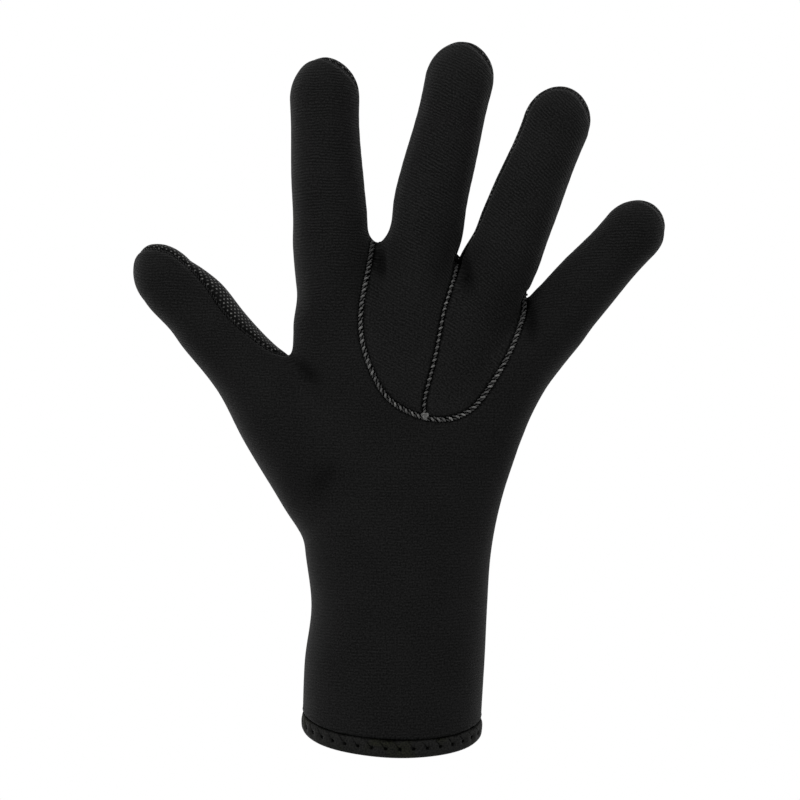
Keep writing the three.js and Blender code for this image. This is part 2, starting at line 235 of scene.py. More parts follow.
def smooth_columns(places: np.ndarray, values: np.ndarray, at: np.ndarray) -> np.ndarray:
    """Reads the columns of a table smoothly between its rows.

    Args:
        places: where each row is, rising.
        values: one row of numbers for each place.
        at: where to read.

    Returns:
        One row of numbers for each place in at.
    """
    slopes = np.empty_like(values)
    slopes[1:-1] = (values[2:] - values[:-2]) / (places[2:] - places[:-2])[:, None]
    slopes[0] = (values[1] - values[0]) / (places[1] - places[0])
    slopes[-1] = (values[-1] - values[-2]) / (places[-1] - places[-2])
    held = np.clip(at, places[0], places[-1])
    i = np.clip(np.searchsorted(places, held, side="right") - 1, 0, len(places) - 2)
    span = (places[i + 1] - places[i])[:, None]
    t = (held - places[i])[:, None] / span
    start = (2 * t**3 - 3 * t**2 + 1) * values[i] + (t**3 - 2 * t**2 + t) * slopes[i] * span
    end = (3 * t**2 - 2 * t**3) * values[i + 1] + (t**3 - t**2) * slopes[i + 1] * span
    return start + end


def row_dot(a: np.ndarray, b: np.ndarray) -> np.ndarray:
    """Dot product of matching rows.

    Args:
        a: vectors.
        b: as many vectors.

    Returns:
        One number for each row.
    """
    return np.einsum("ij,ij->i", a, b)


def unit(vectors: np.ndarray) -> np.ndarray:
    """Vectors of length 1.

    Args:
        vectors: one in each row.

    Returns:
        The same directions.
    """
    return vectors / np.maximum(np.linalg.norm(vectors, axis=-1, keepdims=True), 1e-9)


def wrapped(angle: np.ndarray) -> np.ndarray:
    """Angles brought between minus and plus half a turn.

    Args:
        angle: radians.

    Returns:
        The same directions in radians.
    """
    return (angle + math.pi) % TWO_PI - math.pi


def toward(lean: float, length: float) -> np.ndarray:
    """A step on the XZ plane.

    Args:
        lean: degrees from vertical, towards the little finger.
        length: how far.

    Returns:
        The step as x, y, z.
    """
    angle = math.radians(lean)
    return np.array([math.sin(angle) * length, 0.0, math.cos(angle) * length])


@dataclass
class Placement:
    """Where points lie in the frame of one tube: along it, across it, towards the palm, and past its end."""

    share: np.ndarray
    centre: np.ndarray
    side: np.ndarray
    across: np.ndarray
    palmward: np.ndarray
    beyond: np.ndarray
    wide: np.ndarray
    deep: np.ndarray
    end: np.ndarray

    def distance(self) -> np.ndarray:
        """Signed distance to the oval tube, close to exact near its surface.

        Returns:
            Millimetres, below 0 inside.
        """
        u, v, t = self.across / self.wide, self.palmward / self.deep, self.beyond / self.end
        rho = np.sqrt(u**2 + v**2 + t**2)
        slope = np.sqrt((u / self.wide) ** 2 + (v / self.deep) ** 2 + (t / self.end) ** 2)
        return (rho**2 - rho) / np.maximum(slope, 1e-5)

    @cached_property
    def angle(self) -> np.ndarray:
        """Radians round the tube from its ulnar side towards its palm side."""
        return np.arctan2(self.palmward / self.deep, self.across / self.wide)

    @cached_property
    def radius(self) -> np.ndarray:
        """Distance from the tube's middle line."""
        return np.hypot(self.across, self.palmward)

    def inside_seams(self, ulnar: float, radial: float) -> np.ndarray:
        """How far the points are on the palm side of the tube's two seams.

        Args:
            ulnar: degrees round to the first seam.
            radial: degrees round to the second.

        Returns:
            Millimetres along the surface, below 0 on the back.
        """
        middle, half = math.radians((ulnar + radial) / 2), math.radians((radial - ulnar) / 2)
        return (half - np.abs(wrapped(self.angle - middle))) * self.radius

    def cloth(self, palm: bool) -> np.ndarray:
        """Where the points lay on the flat cloth before it was sewn.

        Args:
            palm: the palm's cloth, or else the back's.

        Returns:
            Two numbers for each point, along X and Z of the flat cloth.
        """
        turn = -wrapped(self.angle - math.pi / 2) if palm else wrapped(self.angle + math.pi / 2)
        unrolled = (self.wide + self.deep) / 2 * turn + (self.wide - self.deep) / 4 * np.sin(2 * turn)
        flat = self.centre + self.side * unrolled[:, None]
        return flat[:, [0, 2]]


@dataclass(frozen=True)
class Digit:
    """A finger or the thumb: a curved middle line with an oval section and a round tip.

    Leans and seams are in degrees. wrap and strip are how far the palm's cloth comes round it.
    """

    name: str
    across: float
    up: float
    length: float
    width: float
    depth: float
    lean: float
    root_lean: float
    tip_lean: float
    palmward: float
    curl: float
    seam_ulnar: float
    seam_radial: float
    rows: tuple[DigitRow, ...] = FINGER_ROWS
    wrap: float = TIP_WRAP
    strip: float = 0.0
    swells: tuple[Swell, ...] = ()
    strip_share: float = 0.7
    strip_spread: float = 0.14
    radial_wrap: float = 0.2
    samples: int = 96

    @cached_property
    def line(self) -> np.ndarray:
        """Points of the middle line, evenly spaced."""
        root = np.array([self.across * HAND_HALF_WIDTH, self.palmward, self.up * HAND_HEIGHT])
        tip = root + toward(self.lean, self.length) + [0, self.curl, 0]
        third = self.length / 3
        near = root + toward(self.root_lean, third)
        far = tip - toward(self.tip_lean, third) - [0, self.curl * 2 / 3, 0]
        t = np.linspace(0, 1, 4 * self.samples)[:, None]
        curve = (1 - t) ** 3 * root + 3 * (1 - t) ** 2 * t * near + 3 * (1 - t) * t**2 * far + t**3 * tip
        run = np.concatenate([[0], np.cumsum(np.linalg.norm(np.diff(curve, axis=0), axis=1))])
        even = np.linspace(0, run[-1], self.samples)
        return np.stack([np.interp(even, run, curve[:, k]) for k in range(3)], axis=1)

    @cached_property
    def places(self) -> np.ndarray:
        """Distance along the middle line of each of its points."""
        return np.linspace(0, self.run, self.samples)

    @cached_property
    def run(self) -> float:
        """Length along the middle line."""
        return float(np.linalg.norm(np.diff(self.line, axis=0), axis=1).sum())

    @cached_property
    def dome(self) -> float:
        """Length of the round tip."""
        return DOME_SHARE * self.width

    @cached_property
    def columns(self) -> np.ndarray:
        """For each point of the line: itself, the direction along, then half width and half depth."""
        along = unit(np.gradient(self.line, axis=0))
        shares = np.array([row.along for row in self.rows])
        sizes = np.array([[row.wide * self.width, row.deep * self.depth] for row in self.rows])
        return np.hstack([self.line, along, smooth_columns(shares, sizes, self.places / self.run)])

    def read(self, at: np.ndarray, columns: slice) -> np.ndarray:
        """Reads the line's columns.

        Args:
            at: distances along the line.
            columns: which of them.

        Returns:
            One row for each distance.
        """
        chosen = self.columns[:, columns]
        return np.stack([np.interp(at, self.places, chosen[:, k]) for k in range(chosen.shape[1])], axis=1)

    def place(self, points: np.ndarray) -> Placement:
        """Finds where points lie in the digit's frame.

        Args:
            points: one in each row.

        Returns:
            Their placement.
        """
        chord = self.line[-1] - self.line[0]
        at = (points - self.line[0]) @ chord / (chord @ chord) * self.run
        last = self.run - self.dome
        for _ in range(4):
            at = np.clip(at, 0, last)
            found = self.read(at, slice(0, 6))
            at = at + row_dot(points - found[:, :3], found[:, 3:])
        at = np.clip(at, 0, last)
        found = self.read(at, slice(0, 8))
        along = unit(found[:, 3:6])
        side = unit(np.cross([0.0, 1.0, 0.0], along))
        palmward = np.cross(along, side)
        offset = points - found[:, :3]
        beyond = row_dot(offset, along)
        share = at / self.run
        sideways = row_dot(offset, side) / found[:, 6]
        wide = found[:, 6].copy()
        for swell in self.swells:
            near = np.exp(-(((share - swell.share) / swell.spread) ** 2))
            wide += swell.amount * near * np.clip(swell.side * sideways, 0, 1)
        return Placement(
            share=share,
            centre=found[:, :3] + along * beyond[:, None],
            side=side,
            across=row_dot(offset, side),
            palmward=row_dot(offset, palmward),
            beyond=beyond,
            wide=wide,
            deep=found[:, 7],
            end=np.where(beyond > 0, self.dome, self.width),
        )

    def palm_side(self, placement: Placement) -> np.ndarray:
        """How far points are on the palm side of the digit's seams.

        Args:
            placement: where the points lie.

        Returns:
            Millimetres along the surface, below 0 on the back.
        """
        sideways = placement.across / placement.wide
        over_tip = self.wrap * np.clip(placement.beyond / self.dome, 0, 1) ** 1.2
        half = (1 - self.radial_wrap) / 2
        over_tip *= self.radial_wrap + half + half * np.clip(1.5 * sideways, -1, 1)
        ulnar_side = np.clip(0.5 + 1.5 * sideways, 0, 1)
        strip = self.strip * ulnar_side
        strip *= np.exp(-(((placement.share - self.strip_share) / self.strip_spread) ** 2))
        return placement.inside_seams(self.seam_ulnar, self.seam_radial) + over_tip + strip


@dataclass(frozen=True)
class Hand:
    """The hand without its digits: ovals from below the opening to the knuckles, with a round top."""

    rows: tuple[HandRow, ...] = HAND_ROWS

    @property
    def top(self) -> float:
        """Height at which the round top starts."""
        return self.rows[-1].up * HAND_HEIGHT

    def sizes(self, height: np.ndarray) -> np.ndarray:
        """Half sizes to the radial side, the ulnar side, the back and the palm.

        Args:
            height: above the opening.

        Returns:
            Four numbers for each height.
        """
        table = np.array(self.rows)
        scale = np.array([HAND_HALF_WIDTH, HAND_HALF_WIDTH, HAND_HALF_DEPTH, HAND_HALF_DEPTH])
        return smooth_columns(table[:, 0] * HAND_HEIGHT, table[:, 1:] * scale, height)

    def place(self, points: np.ndarray) -> Placement:
        """Finds where points lie in the hand's frame.

        Args:
            points: one in each row.

        Returns:
            Their placement.
        """
        height = np.minimum(points[:, 2], self.top)
        radial, ulnar, back, palm = self.sizes(height).T
        zero = np.zeros(len(points))
        return Placement(
            share=points[:, 2] / HAND_HEIGHT,
            centre=np.stack([zero, zero, points[:, 2]], axis=1),
            side=np.tile([1.0, 0.0, 0.0], (len(points), 1)),
            across=points[:, 0],
            palmward=points[:, 1],
            beyond=points[:, 2] - height,
            wide=np.where(points[:, 0] > 0, ulnar, radial),
            deep=np.where(points[:, 1] > 0, palm, back),
            end=np.full(len(points), HAND_HEIGHT - self.top),
        )

    def palm_side(self, placement: Placement) -> np.ndarray:
        """How far points are on the palm side of the hand's seams.

        Args:
            placement: where the points lie.

        Returns:
            Millimetres along the surface, below 0 on the back.
        """
        return placement.inside_seams(HAND_SEAM_ULNAR, HAND_SEAM_RADIAL)

    def outline(self, angle: np.ndarray, height: np.ndarray, offset: np.ndarray) -> np.ndarray:
        """Points on the hand's outline.

        Args:
            angle: radians from the little finger's side towards the palm.
            height: above the origin.
            offset: how far outside the outline.

        Returns:
            One point for each angle.
        """
        radial, ulnar, back, palm = self.sizes(height).T
        wide = np.where(np.cos(angle) > 0, ulnar, radial) + offset
        deep = np.where(np.sin(angle) > 0, palm, back) + offset
        return np.stack([wide * np.cos(angle), deep * np.sin(angle), height], axis=1)


FINGERS = (
    Digit(
        "index", across=-0.435, up=0.782, length=120.0, width=13.1, depth=11.9,
        lean=-3.8, root_lean=-6.0, tip_lean=0.5, palmward=0.0, curl=5.0,
        seam_ulnar=-2.0, seam_radial=146.0,
        swells=(Swell(1, 0.435, 0.045, -1.2),),
    ),
    Digit(
        "middle", across=0.036, up=0.810, length=123.8, width=12.9, depth=11.9,
        lean=12.8, root_lean=11.0, tip_lean=14.0, palmward=0.0, curl=6.0,
        seam_ulnar=2.0, seam_radial=184.0,
        swells=(Swell(-1, 0.395, 0.065, -2.8), Swell(1, 0.32, 0.06, -1.0)),
    ),
    Digit(
        "ring", across=0.53, up=0.788, length=116.4, width=12.6, depth=11.6,
        lean=23.1, root_lean=24.0, tip_lean=21.0, palmward=0.0, curl=6.0,
        seam_ulnar=2.0, seam_radial=196.0,
        swells=(Swell(-1, 0.43, 0.055, -1.4),),
    ),
    Digit(
        "little", across=0.89, up=0.697, length=100.4, width=11.6, depth=10.8,
        lean=39.0, root_lean=28.0, tip_lean=41.0, palmward=1.0, curl=5.0,
        seam_ulnar=34.0, seam_radial=184.0,
    ),
)
THUMB = Digit(
    "thumb", across=-0.31, up=0.444, length=135.6, width=12.8, depth=11.9,
    lean=-37.9, root_lean=-27.5, tip_lean=-41.0, palmward=4.0, curl=4.0,
    seam_ulnar=-32.0, seam_radial=140.0,
    rows=THUMB_ROWS, wrap=THUMB_TIP_WRAP, strip=THUMB_STRIP,
    swells=(
        Swell(1, 0.78, 0.07, 1.3), Swell(1, 0.9, 0.035, -0.9),
        Swell(-1, 0.87, 0.05, 0.9), Swell(-1, 0.77, 0.04, -0.5),
    ),
)


def soft_min(a: np.ndarray, b: np.ndarray, blend: float) -> np.ndarray:
    """The lower of two distances, rounded where they are close.

    Args:
        a: distances.
        b: as many.
        blend: how far apart they are when the rounding ends.

    Returns:
        The joined distance.
    """
    h = np.maximum(blend - np.abs(a - b), 0) / blend
    return np.minimum(a, b) - h**2 * blend / 4


@dataclass(frozen=True)
class Fold:
    """A short crease on the glove's back, drawn on the XZ plane. A lip stands beside it, a share of its depth."""

    start: tuple[float, float]
    end: tuple[float, float]
    depth: float
    width: float
    lip: float = 0.1
    lip_place: float = 2.1

    def height(self, points: np.ndarray) -> tuple[np.ndarray, np.ndarray]:
        """How far the crease moves the surface out.

        Args:
            points: one in each row.

        Returns:
            Millimetres, below 0 in the crease, and how far down the crease the points are, from 0 to 1.
        """
        start, end = np.array(self.start), np.array(self.end)
        flat = points[:, [0, 2]] - start
        run = end - start
        share = flat @ run / (run @ run)
        near = np.clip(share, 0, 1)
        gap = np.linalg.norm(flat - near[:, None] * run, axis=1)
        fade = np.clip(1.25 - 1.6 * np.abs(share - 0.5), 0, 1) ** 1.5
        fade *= np.clip((4 - points[:, 1]) / 7, 0, 1)
        crease = np.exp(-((gap / self.width) ** 2)) * fade
        lip = self.lip * np.exp(-((gap / self.width - self.lip_place) ** 2)) * fade
        return self.depth * (lip - crease), crease * min(1, self.depth)


FOLDS = (
    Fold((-6.0, 187.5), (-4.2, 172.0), 1.4, 2.9),
    Fold((-3.4, 183.0), (-3.0, 174.0), 0.3, 0.8),
    Fold((26.0, 187.0), (28.4, 167.0), 1.7, 3.3),
    Fold((51.6, 168.5), (52.0, 150.0), 1.4, 3.0),
    Fold((-38.0, 144.0), (-27.0, 134.0), 0.8, 3.0),
    Fold((-30.0, 92.0), (-22.0, 104.0), 0.5, 3.5),
)


@dataclass(frozen=True)
class GloveForm:
    """The filled-out glove as one smooth closed form."""

    hand: Hand = field(default_factory=Hand)
    unevenness: float = 0.16
    mixing: float = 2.2

    def distances(self, points: np.ndarray) -> tuple[list[Placement], np.ndarray]:
        """Distances to each tube alone.

        Args:
            points: one in each row.

        Returns:
            The placements and distances, in the order hand, four fingers, thumb.
        """
        placements = [tube.place(points) for tube in (self.hand, *FINGERS, THUMB)]
        return placements, np.stack([placement.distance() for placement in placements])

    def distance(self, points: np.ndarray) -> np.ndarray:
        """Signed distance to the whole form.

        Args:
            points: one in each row.

        Returns:
            Millimetres, below 0 inside.
        """
        _, each = self.distances(points)
        fingers = each[1]
        for other, blend in zip(each[2:5], FINGER_BLENDS):
            fingers = soft_min(fingers, other, blend)
        hand = soft_min(each[0], each[5], THUMB_BLEND)
        return soft_min(hand, fingers, KNUCKLE_BLEND) + self.sway(points)

    def sway(self, points: np.ndarray) -> np.ndarray:
        """The slow unevenness of a filled glove.

        Args:
            points: one in each row.

        Returns:
            Millimetres added to the distance.
        """
        x, y, z = points.T
        broad = np.sin(x / 11.0 + 1.3) * np.sin(z / 17.0 + 0.4)
        narrow = 0.6 * np.sin(x / 6.1 + z / 9.3) * np.cos(y / 8.0)
        return self.unevenness * (broad + narrow)

    def normals(self, points: np.ndarray) -> np.ndarray:
        """Outward directions.

        Args:
            points: one in each row.

        Returns:
            Unit vectors.
        """
        return unit(gradient(self.distance, points, 0.35))

    def survey(self, points: np.ndarray) -> dict[str, np.ndarray]:
        """Values that tell which panel a point is on and where it lay on the flat cloth.

        Args:
            points: one in each row.

        Returns:
            palm: distance on the palm side of the side seams. cloth_palm and cloth_back: flat places.
        """
        placements, each = self.distances(points)
        weights = np.exp(-(each - each.min(axis=0)) / self.mixing)
        weights /= weights.sum(axis=0)
        tubes_in_order = (self.hand, *FINGERS, THUMB)
        palm = sum(w * tube.palm_side(p) for w, p, tube in zip(weights, placements, tubes_in_order))
        values = {"palm": palm}
        for name, is_palm in (("cloth_palm", True), ("cloth_back", False)):
            flats = [p.cloth(is_palm) for p in placements]
            values[name] = sum(w[:, None] * flat for w, flat in zip(weights, flats))
        return values


def gradient(function: Callable[[np.ndarray], np.ndarray], points: np.ndarray, step: float) -> np.ndarray:
    """Slope of a function of place.

    Args:
        function: gives one number for each point.
        points: where.
        step: how far to look either way.

    Returns:
        One vector for each point.
    """
    slopes = []
    for axis in np.eye(3) * step:
        slopes.append((function(points + axis) - function(points - axis)) / (2 * step))
    return np.stack(slopes, axis=1)


def crotch(a: Digit, b: Digit) -> np.ndarray:
    """The lowest point between two neighbouring fingers where their sides part.

    Args:
        a: the finger on the radial side.
        b: the finger on the ulnar side.

    Returns:
        A point on the first finger's side.
    """
    for row in a.columns:
        centre, wide = row[:3], row[6]
        gaps = np.linalg.norm(b.line - centre, axis=1)
        nearest = int(np.argmin(gaps))
        if gaps[nearest] > wide + b.columns[nearest, 6]:
            return centre + unit(b.line[nearest] - centre) * wide
    raise ValueError(f"{a.name} and {b.name} never part")


def smooth_line(points: np.ndarray, steps: int) -> np.ndarray:
    """A smooth line through points.

    Args:
        points: two numbers in each row.
        steps: how many points to return for each span.

    Returns:
        Points along the line.
    """
    places = np.arange(len(points), dtype=float)
    return smooth_columns(places, points, np.linspace(0, len(points) - 1, steps * (len(points) - 1) + 1))


@dataclass(frozen=True)
class KnuckleInset:
    """The tongue on the back of the hand whose halves run on as the backs of two fingers."""

    foot_up: float = 0.682
    darkest_reach: float = 5.0
    brightening_reach: float = 14.0
    foot_brightness: float = 0.35

    @cached_property
    def corners(self) -> tuple[np.ndarray, np.ndarray, np.ndarray]:
        """The three crotches between the four fingers."""
        index, middle, ring, little = FINGERS
        return crotch(index, middle), crotch(middle, ring), crotch(ring, little)

    def thread_painted_light(self, points: np.ndarray) -> np.ndarray:
        """How brightly the seams' thread is painted: painted shade darkens it towards the crotches, where the
        folds shade it.

        Args:
            points: on the seams.

        Returns:
            From 0 to 1 for each point.
        """
        away = np.full(len(points), FAR)
        for corner, up in zip(self.corners, CROTCH_RISE):
            away = np.minimum(away, np.linalg.norm(points - corner - [0, -5, up], axis=1))
        return np.clip((away - self.darkest_reach) / self.brightening_reach, 0.05, 1)

    def parting_thread_light(self, points: np.ndarray) -> np.ndarray:
        """The same for the seam between the two halves, which is also painted darker towards its lower end.

        Args:
            points: on the seam.

        Returns:
            From 0 to 1 for each point.
        """
        above_foot = points[:, 2] - self.foot_up * HAND_HEIGHT
        brighter_above_foot = np.clip((above_foot - 8) / self.brightening_reach, 0, 1)
        return self.thread_painted_light(points) * (self.foot_brightness + (1 - self.foot_brightness) * brighter_above_foot)

    def points(self, rows: tuple[InsetRow, ...]) -> np.ndarray:
        """Turns shares into places on the XZ plane.

        Args:
            rows: shares of the inset's breadth and length.

        Returns:
            Two numbers for each row.
        """
        radial, middle, ulnar = self.corners
        breadth, foot = ulnar[0] - radial[0], self.foot_up * HAND_HEIGHT
        drop = foot - middle[2]
        return np.array([[radial[0] + row.across * breadth, middle[2] + row.down * drop] for row in rows])

    @cached_property
    def outlines(self) -> tuple[np.ndarray, np.ndarray]:
        """Closed outlines of the middle finger's half and the ring finger's half."""
        edge = smooth_line(self.points(INSET_EDGE), 3)
        parting = smooth_line(self.points(INSET_MIDDLE), 3)
        foot = int(np.argmin(np.linalg.norm(edge - parting[-1], axis=1)))
        tops = []
        for corner, a, b in zip(self.corners, FINGERS, FINGERS[1:]):
            far_out = 4 * a.samples // 5
            up = unit(a.columns[far_out, 3:6] + b.columns[far_out, 3:6])
            tops.append((corner + up * 1.2 * FINGERS[1].length)[[0, 2]])
        middle = np.vstack([tops[0], edge[:foot], parting[::-1], tops[1]])
        ring = np.vstack([tops[1], parting, edge[foot + 1 :], tops[2]])
        return middle, ring

    def inside(self, points: np.ndarray, half: int) -> np.ndarray:
        """How far points are inside one half's outline.

        Args:
            points: one in each row.
            half: 0 for the middle finger's and 1 for the ring finger's.

        Returns:
            Millimetres on the XZ plane, below 0 outside.
        """
        outline = self.outlines[half]
        flat = points[:, [0, 2]]
        nearest = np.full(len(flat), FAR)
        inside = np.zeros(len(flat), bool)
        for start, end in zip(outline, np.roll(outline, -1, axis=0)):
            run = end - start
            offset = flat - start
            share = np.clip(offset @ run / (run @ run), 0, 1)
            nearest = np.minimum(nearest, np.linalg.norm(offset - share[:, None] * run, axis=1))
            spans = (start[1] > flat[:, 1]) != (end[1] > flat[:, 1])
            if run[1] != 0:
                inside ^= spans & (offset[:, 0] < run[0] * offset[:, 1] / run[1])
        return np.where(inside, nearest, -nearest)


def opening_normal() -> np.ndarray:
    """The direction straight up out of the tilted opening.

    Returns:
        A unit vector.
    """
    tilt, roll = math.radians(OPENING_TILT), math.radians(OPENING_ROLL)
    return np.array([math.sin(roll), -math.sin(tilt) * math.cos(roll), math.cos(tilt) * math.cos(roll)])


@dataclass
class Surface:
    """A triangle mesh with values at its points."""

    points: np.ndarray
    triangles: np.ndarray
    values: dict[str, np.ndarray] = field(default_factory=dict)

    def kept(self, triangles: np.ndarray) -> Surface:
        """The part of the surface that some triangles make up.

        Args:
            triangles: rows of point numbers.

        Returns:
            A surface with the points in use.
        """
        used, renamed = np.unique(triangles, return_inverse=True)
        values = {name: value[used] for name, value in self.values.items()}
        return Surface(self.points[used], renamed.reshape(-1, 3), values)

    def clipped(self, name: str) -> Surface:
        """The part of the surface where a value is above 0.

        Args:
            name: which value.

        Returns:
            The part, its edge on the value's zero line.
        """
        level = self.values[name]
        sign = np.sign(level).astype(int)
        corner_signs = sign[self.triangles]
        whole = self.triangles[(corner_signs >= 0).all(axis=1) & (corner_signs > 0).any(axis=1)]
        crossed = self.triangles[(corner_signs > 0).any(axis=1) & (corner_signs < 0).any(axis=1)]
        edges = np.sort(np.vstack([crossed[:, [0, 1]], crossed[:, [1, 2]], crossed[:, [2, 0]]]), axis=1)
        edges = np.unique(edges[sign[edges[:, 0]] * sign[edges[:, 1]] < 0], axis=0)
        a, b = edges.T
        share = level[a] / (level[a] - level[b])
        total = len(self.points)
        numbers = {(int(p), int(q)): total + k for k, (p, q) in enumerate(edges)}
        points = np.vstack([self.points, self.points[a] + share[:, None] * (self.points[b] - self.points[a])])
        values = {}
        for key, value in self.values.items():
            weight = share if value.ndim == 1 else share[:, None]
            values[key] = np.concatenate([value, value[a] + weight * (value[b] - value[a])])
        values[name][total:] = 0
        added = []
        for corners in crossed.tolist():
            kept = []
            for p, q in zip(corners, corners[1:] + corners[:1]):
                if sign[p] >= 0:
                    kept.append(p)
                if sign[p] * sign[q] < 0:
                    kept.append(numbers[(min(p, q), max(p, q))])
            for k in range(1, len(kept) - 1):
                added.append([kept[0], kept[k], kept[k + 1]])
        triangles = np.vstack([whole, np.array(added, dtype=int).reshape(-1, 3)])
        return Surface(points, triangles, values).kept(triangles)

    def negated(self, name: str) -> Surface:
        """The same surface with one value's sign turned round.

        Args:
            name: which value.

        Returns:
            A surface that shares its points.
        """
        return Surface(self.points, self.triangles, {**self.values, name: -self.values[name]})

    def refined(self, near: np.ndarray) -> Surface:
        """The same surface with its edges halved in some places.

        Args:
            near: for each point, whether the edges between it and others like it are halved.

        Returns:
            The finer surface.
        """
        t = self.triangles
        edges = np.stack([t, np.roll(t, -1, axis=1)], axis=2)
        halved = near[edges].all(axis=2)
        pairs, numbers = np.unique(np.sort(edges[halved], axis=1), axis=0, return_inverse=True)
        a, b = pairs.T
        points = np.vstack([self.points, (self.points[a] + self.points[b]) / 2])
        values = {
            name: np.concatenate([value, (value[a] + value[b]) / 2]) for name, value in self.values.items()
        }
        middles = np.full(t.shape, -1)
        middles[halved] = numbers.ravel() + len(self.points)
        count = halved.sum(axis=1)
        made = [t[count == 0]]
        for turn in range(3):
            corner, middle = np.roll(t, -turn, axis=1).T, np.roll(middles, -turn, axis=1).T
            one = (count == 1) & (middle[0] >= 0)
            made.append(np.stack([corner[0], middle[0], corner[2]], axis=1)[one])
            made.append(np.stack([middle[0], corner[1], corner[2]], axis=1)[one])
            two = (count == 2) & (middle[2] < 0)
            made.append(np.stack([corner[0], middle[0], middle[1]], axis=1)[two])
            made.append(np.stack([middle[0], corner[1], middle[1]], axis=1)[two])
            made.append(np.stack([corner[0], middle[1], corner[2]], axis=1)[two])
        corner, middle = t[count == 3].T, middles[count == 3].T
        for k in range(3):
            made.append(np.stack([corner[k], middle[k], middle[k - 1]], axis=1))
        made.append(middle.T)
        return Surface(points, np.vstack(made), values)

    def share_of_area(self, places: np.ndarray) -> np.ndarray:
        """How large the surface is round each point when its points are put elsewhere, against what it is.

        Args:
            places: another place for each point.

        Returns:
            A share for each point.
        """
        areas = []
        for corners in (places[self.triangles], self.points[self.triangles]):
            first, second = corners[:, 1] - corners[:, 0], corners[:, 2] - corners[:, 0]
            area = np.linalg.norm(np.cross(first, second), axis=1)
            areas.append(np.bincount(self.triangles.ravel(), np.repeat(area, 3), len(self.points)))
        return areas[0] / np.maximum(areas[1], 1e-9)

    def border(self) -> np.ndarray:
        """Directed edges that only one triangle has.

        Returns:
            Two point numbers in each row.
        """
        t = self.triangles
        edges = np.vstack([t[:, [0, 1]], t[:, [1, 2]], t[:, [2, 0]]])
        _, index, count = np.unique(np.sort(edges, axis=1), axis=0, return_index=True, return_counts=True)
        return edges[index[count == 1]]


def sampled(
    function: Callable[[np.ndarray], np.ndarray], low: np.ndarray, shape: tuple[int, ...], pitch: float
) -> np.ndarray:
    """Values of a function on a grid.

    Args:
        function: gives one number for each point.
        low: the grid's lowest corner.
        shape: how many points each way.
        pitch: distance between them.

    Returns:
        An array of that shape.
    """
    x, y, z = [low[k] + pitch * np.arange(shape[k]) for k in range(3)]
    values = np.empty(shape)
    for i, at in enumerate(x):
        grid = np.stack(np.meshgrid([at], y, z, indexing="ij"), axis=-1).reshape(-1, 3)
        values[i] = function(grid).reshape(shape[1:])
    return values


def doubled(values: np.ndarray) -> np.ndarray:
    """A grid with a value put between each two.

    Args:
        values: a grid of numbers.

    Returns:
        The finer grid.
    """
    for axis in range(3):
        values = np.moveaxis(values, axis, 0)
        finer = np.empty((2 * len(values) - 1, *values.shape[1:]))
        finer[::2] = values
        finer[1::2] = (values[1:] + values[:-1]) / 2
        values = np.moveaxis(finer, 0, axis)
    return values


def surface_net(values: np.ndarray, low: np.ndarray, pitch: float) -> tuple[np.ndarray, np.ndarray]:
    """A quad mesh on the zero level of a grid.

    Args:
        values: numbers on the grid, below 0 inside.
        low: the grid's lowest corner.
        pitch: distance between its points.

    Returns:
        Points, and quads that face out.
    """
    inside = values < 0
    shape = np.array(values.shape) - 1
    count = np.zeros(shape, int)
    corner_slices = [(slice(None, -1), slice(1, None))[bit] for bit in (0, 1)]
    for i in (0, 1):
        for j in (0, 1):
            for k in (0, 1):
                count += inside[corner_slices[i], corner_slices[j], corner_slices[k]]
    active = (count > 0) & (count < 8)
    cells = np.argwhere(active)
    numbers = np.full(shape, -1)
    numbers[active] = np.arange(len(cells))
    quads = []
    for axis in range(3):
        b, c = (axis + 1) % 3, (axis + 2) % 3
        before = np.moveaxis(inside, axis, 0)[:-1]
        after = np.moveaxis(inside, axis, 0)[1:]
        change = np.moveaxis(before != after, 0, axis)
        at = np.argwhere(change)
        at = at[(at[:, b] > 0) & (at[:, c] > 0) & (at[:, b] < shape[b]) & (at[:, c] < shape[c])]
        step_b, step_c = np.eye(3, dtype=int)[b], np.eye(3, dtype=int)[c]
        round_edge = (at, at - step_b, at - step_b - step_c, at - step_c)
        quad = np.stack([numbers[tuple(cell.T)] for cell in round_edge], axis=1)
        rising = inside[tuple(at.T)]
        quad[~rising] = quad[~rising][:, ::-1]
        quads.append(quad)
    return low + (cells + 0.5) * pitch, np.vstack(quads)


def settled(points: np.ndarray, form: Callable[[np.ndarray], np.ndarray], rounds: int) -> np.ndarray:
    """Points moved straight onto a form's surface.

    Args:
        points: close to the surface.
        form: signed distance.
        rounds: how many steps to take.

    Returns:
        The moved points.
    """
    for _ in range(rounds):
        slope = gradient(form, points, 0.25)
        step = form(points) / np.maximum(row_dot(slope, slope), 0.05)
        points = points - np.clip(step, -2, 2)[:, None] * slope
    return points


def relaxed(
    points: np.ndarray, quads: np.ndarray, form: Callable[[np.ndarray], np.ndarray], rounds: int
) -> np.ndarray:
    """Points spread evenly over a form's surface.

    Args:
        points: on the surface.
        quads: rows of four point numbers.
        form: signed distance.
        rounds: how many times to average.

    Returns:
        The moved points.
    """
    edges = np.vstack([quads[:, [k, (k + 1) % 4]] for k in range(4)])
    a, b = np.concatenate([edges[:, 0], edges[:, 1]]), np.concatenate([edges[:, 1], edges[:, 0]])
    degree = np.bincount(a, minlength=len(points))
    for _ in range(rounds):
        mean = np.stack([np.bincount(a, points[b, k], len(points)) / degree for k in range(3)], axis=1)
        points = settled(points + 0.7 * (mean - points), form, 1)
    return points


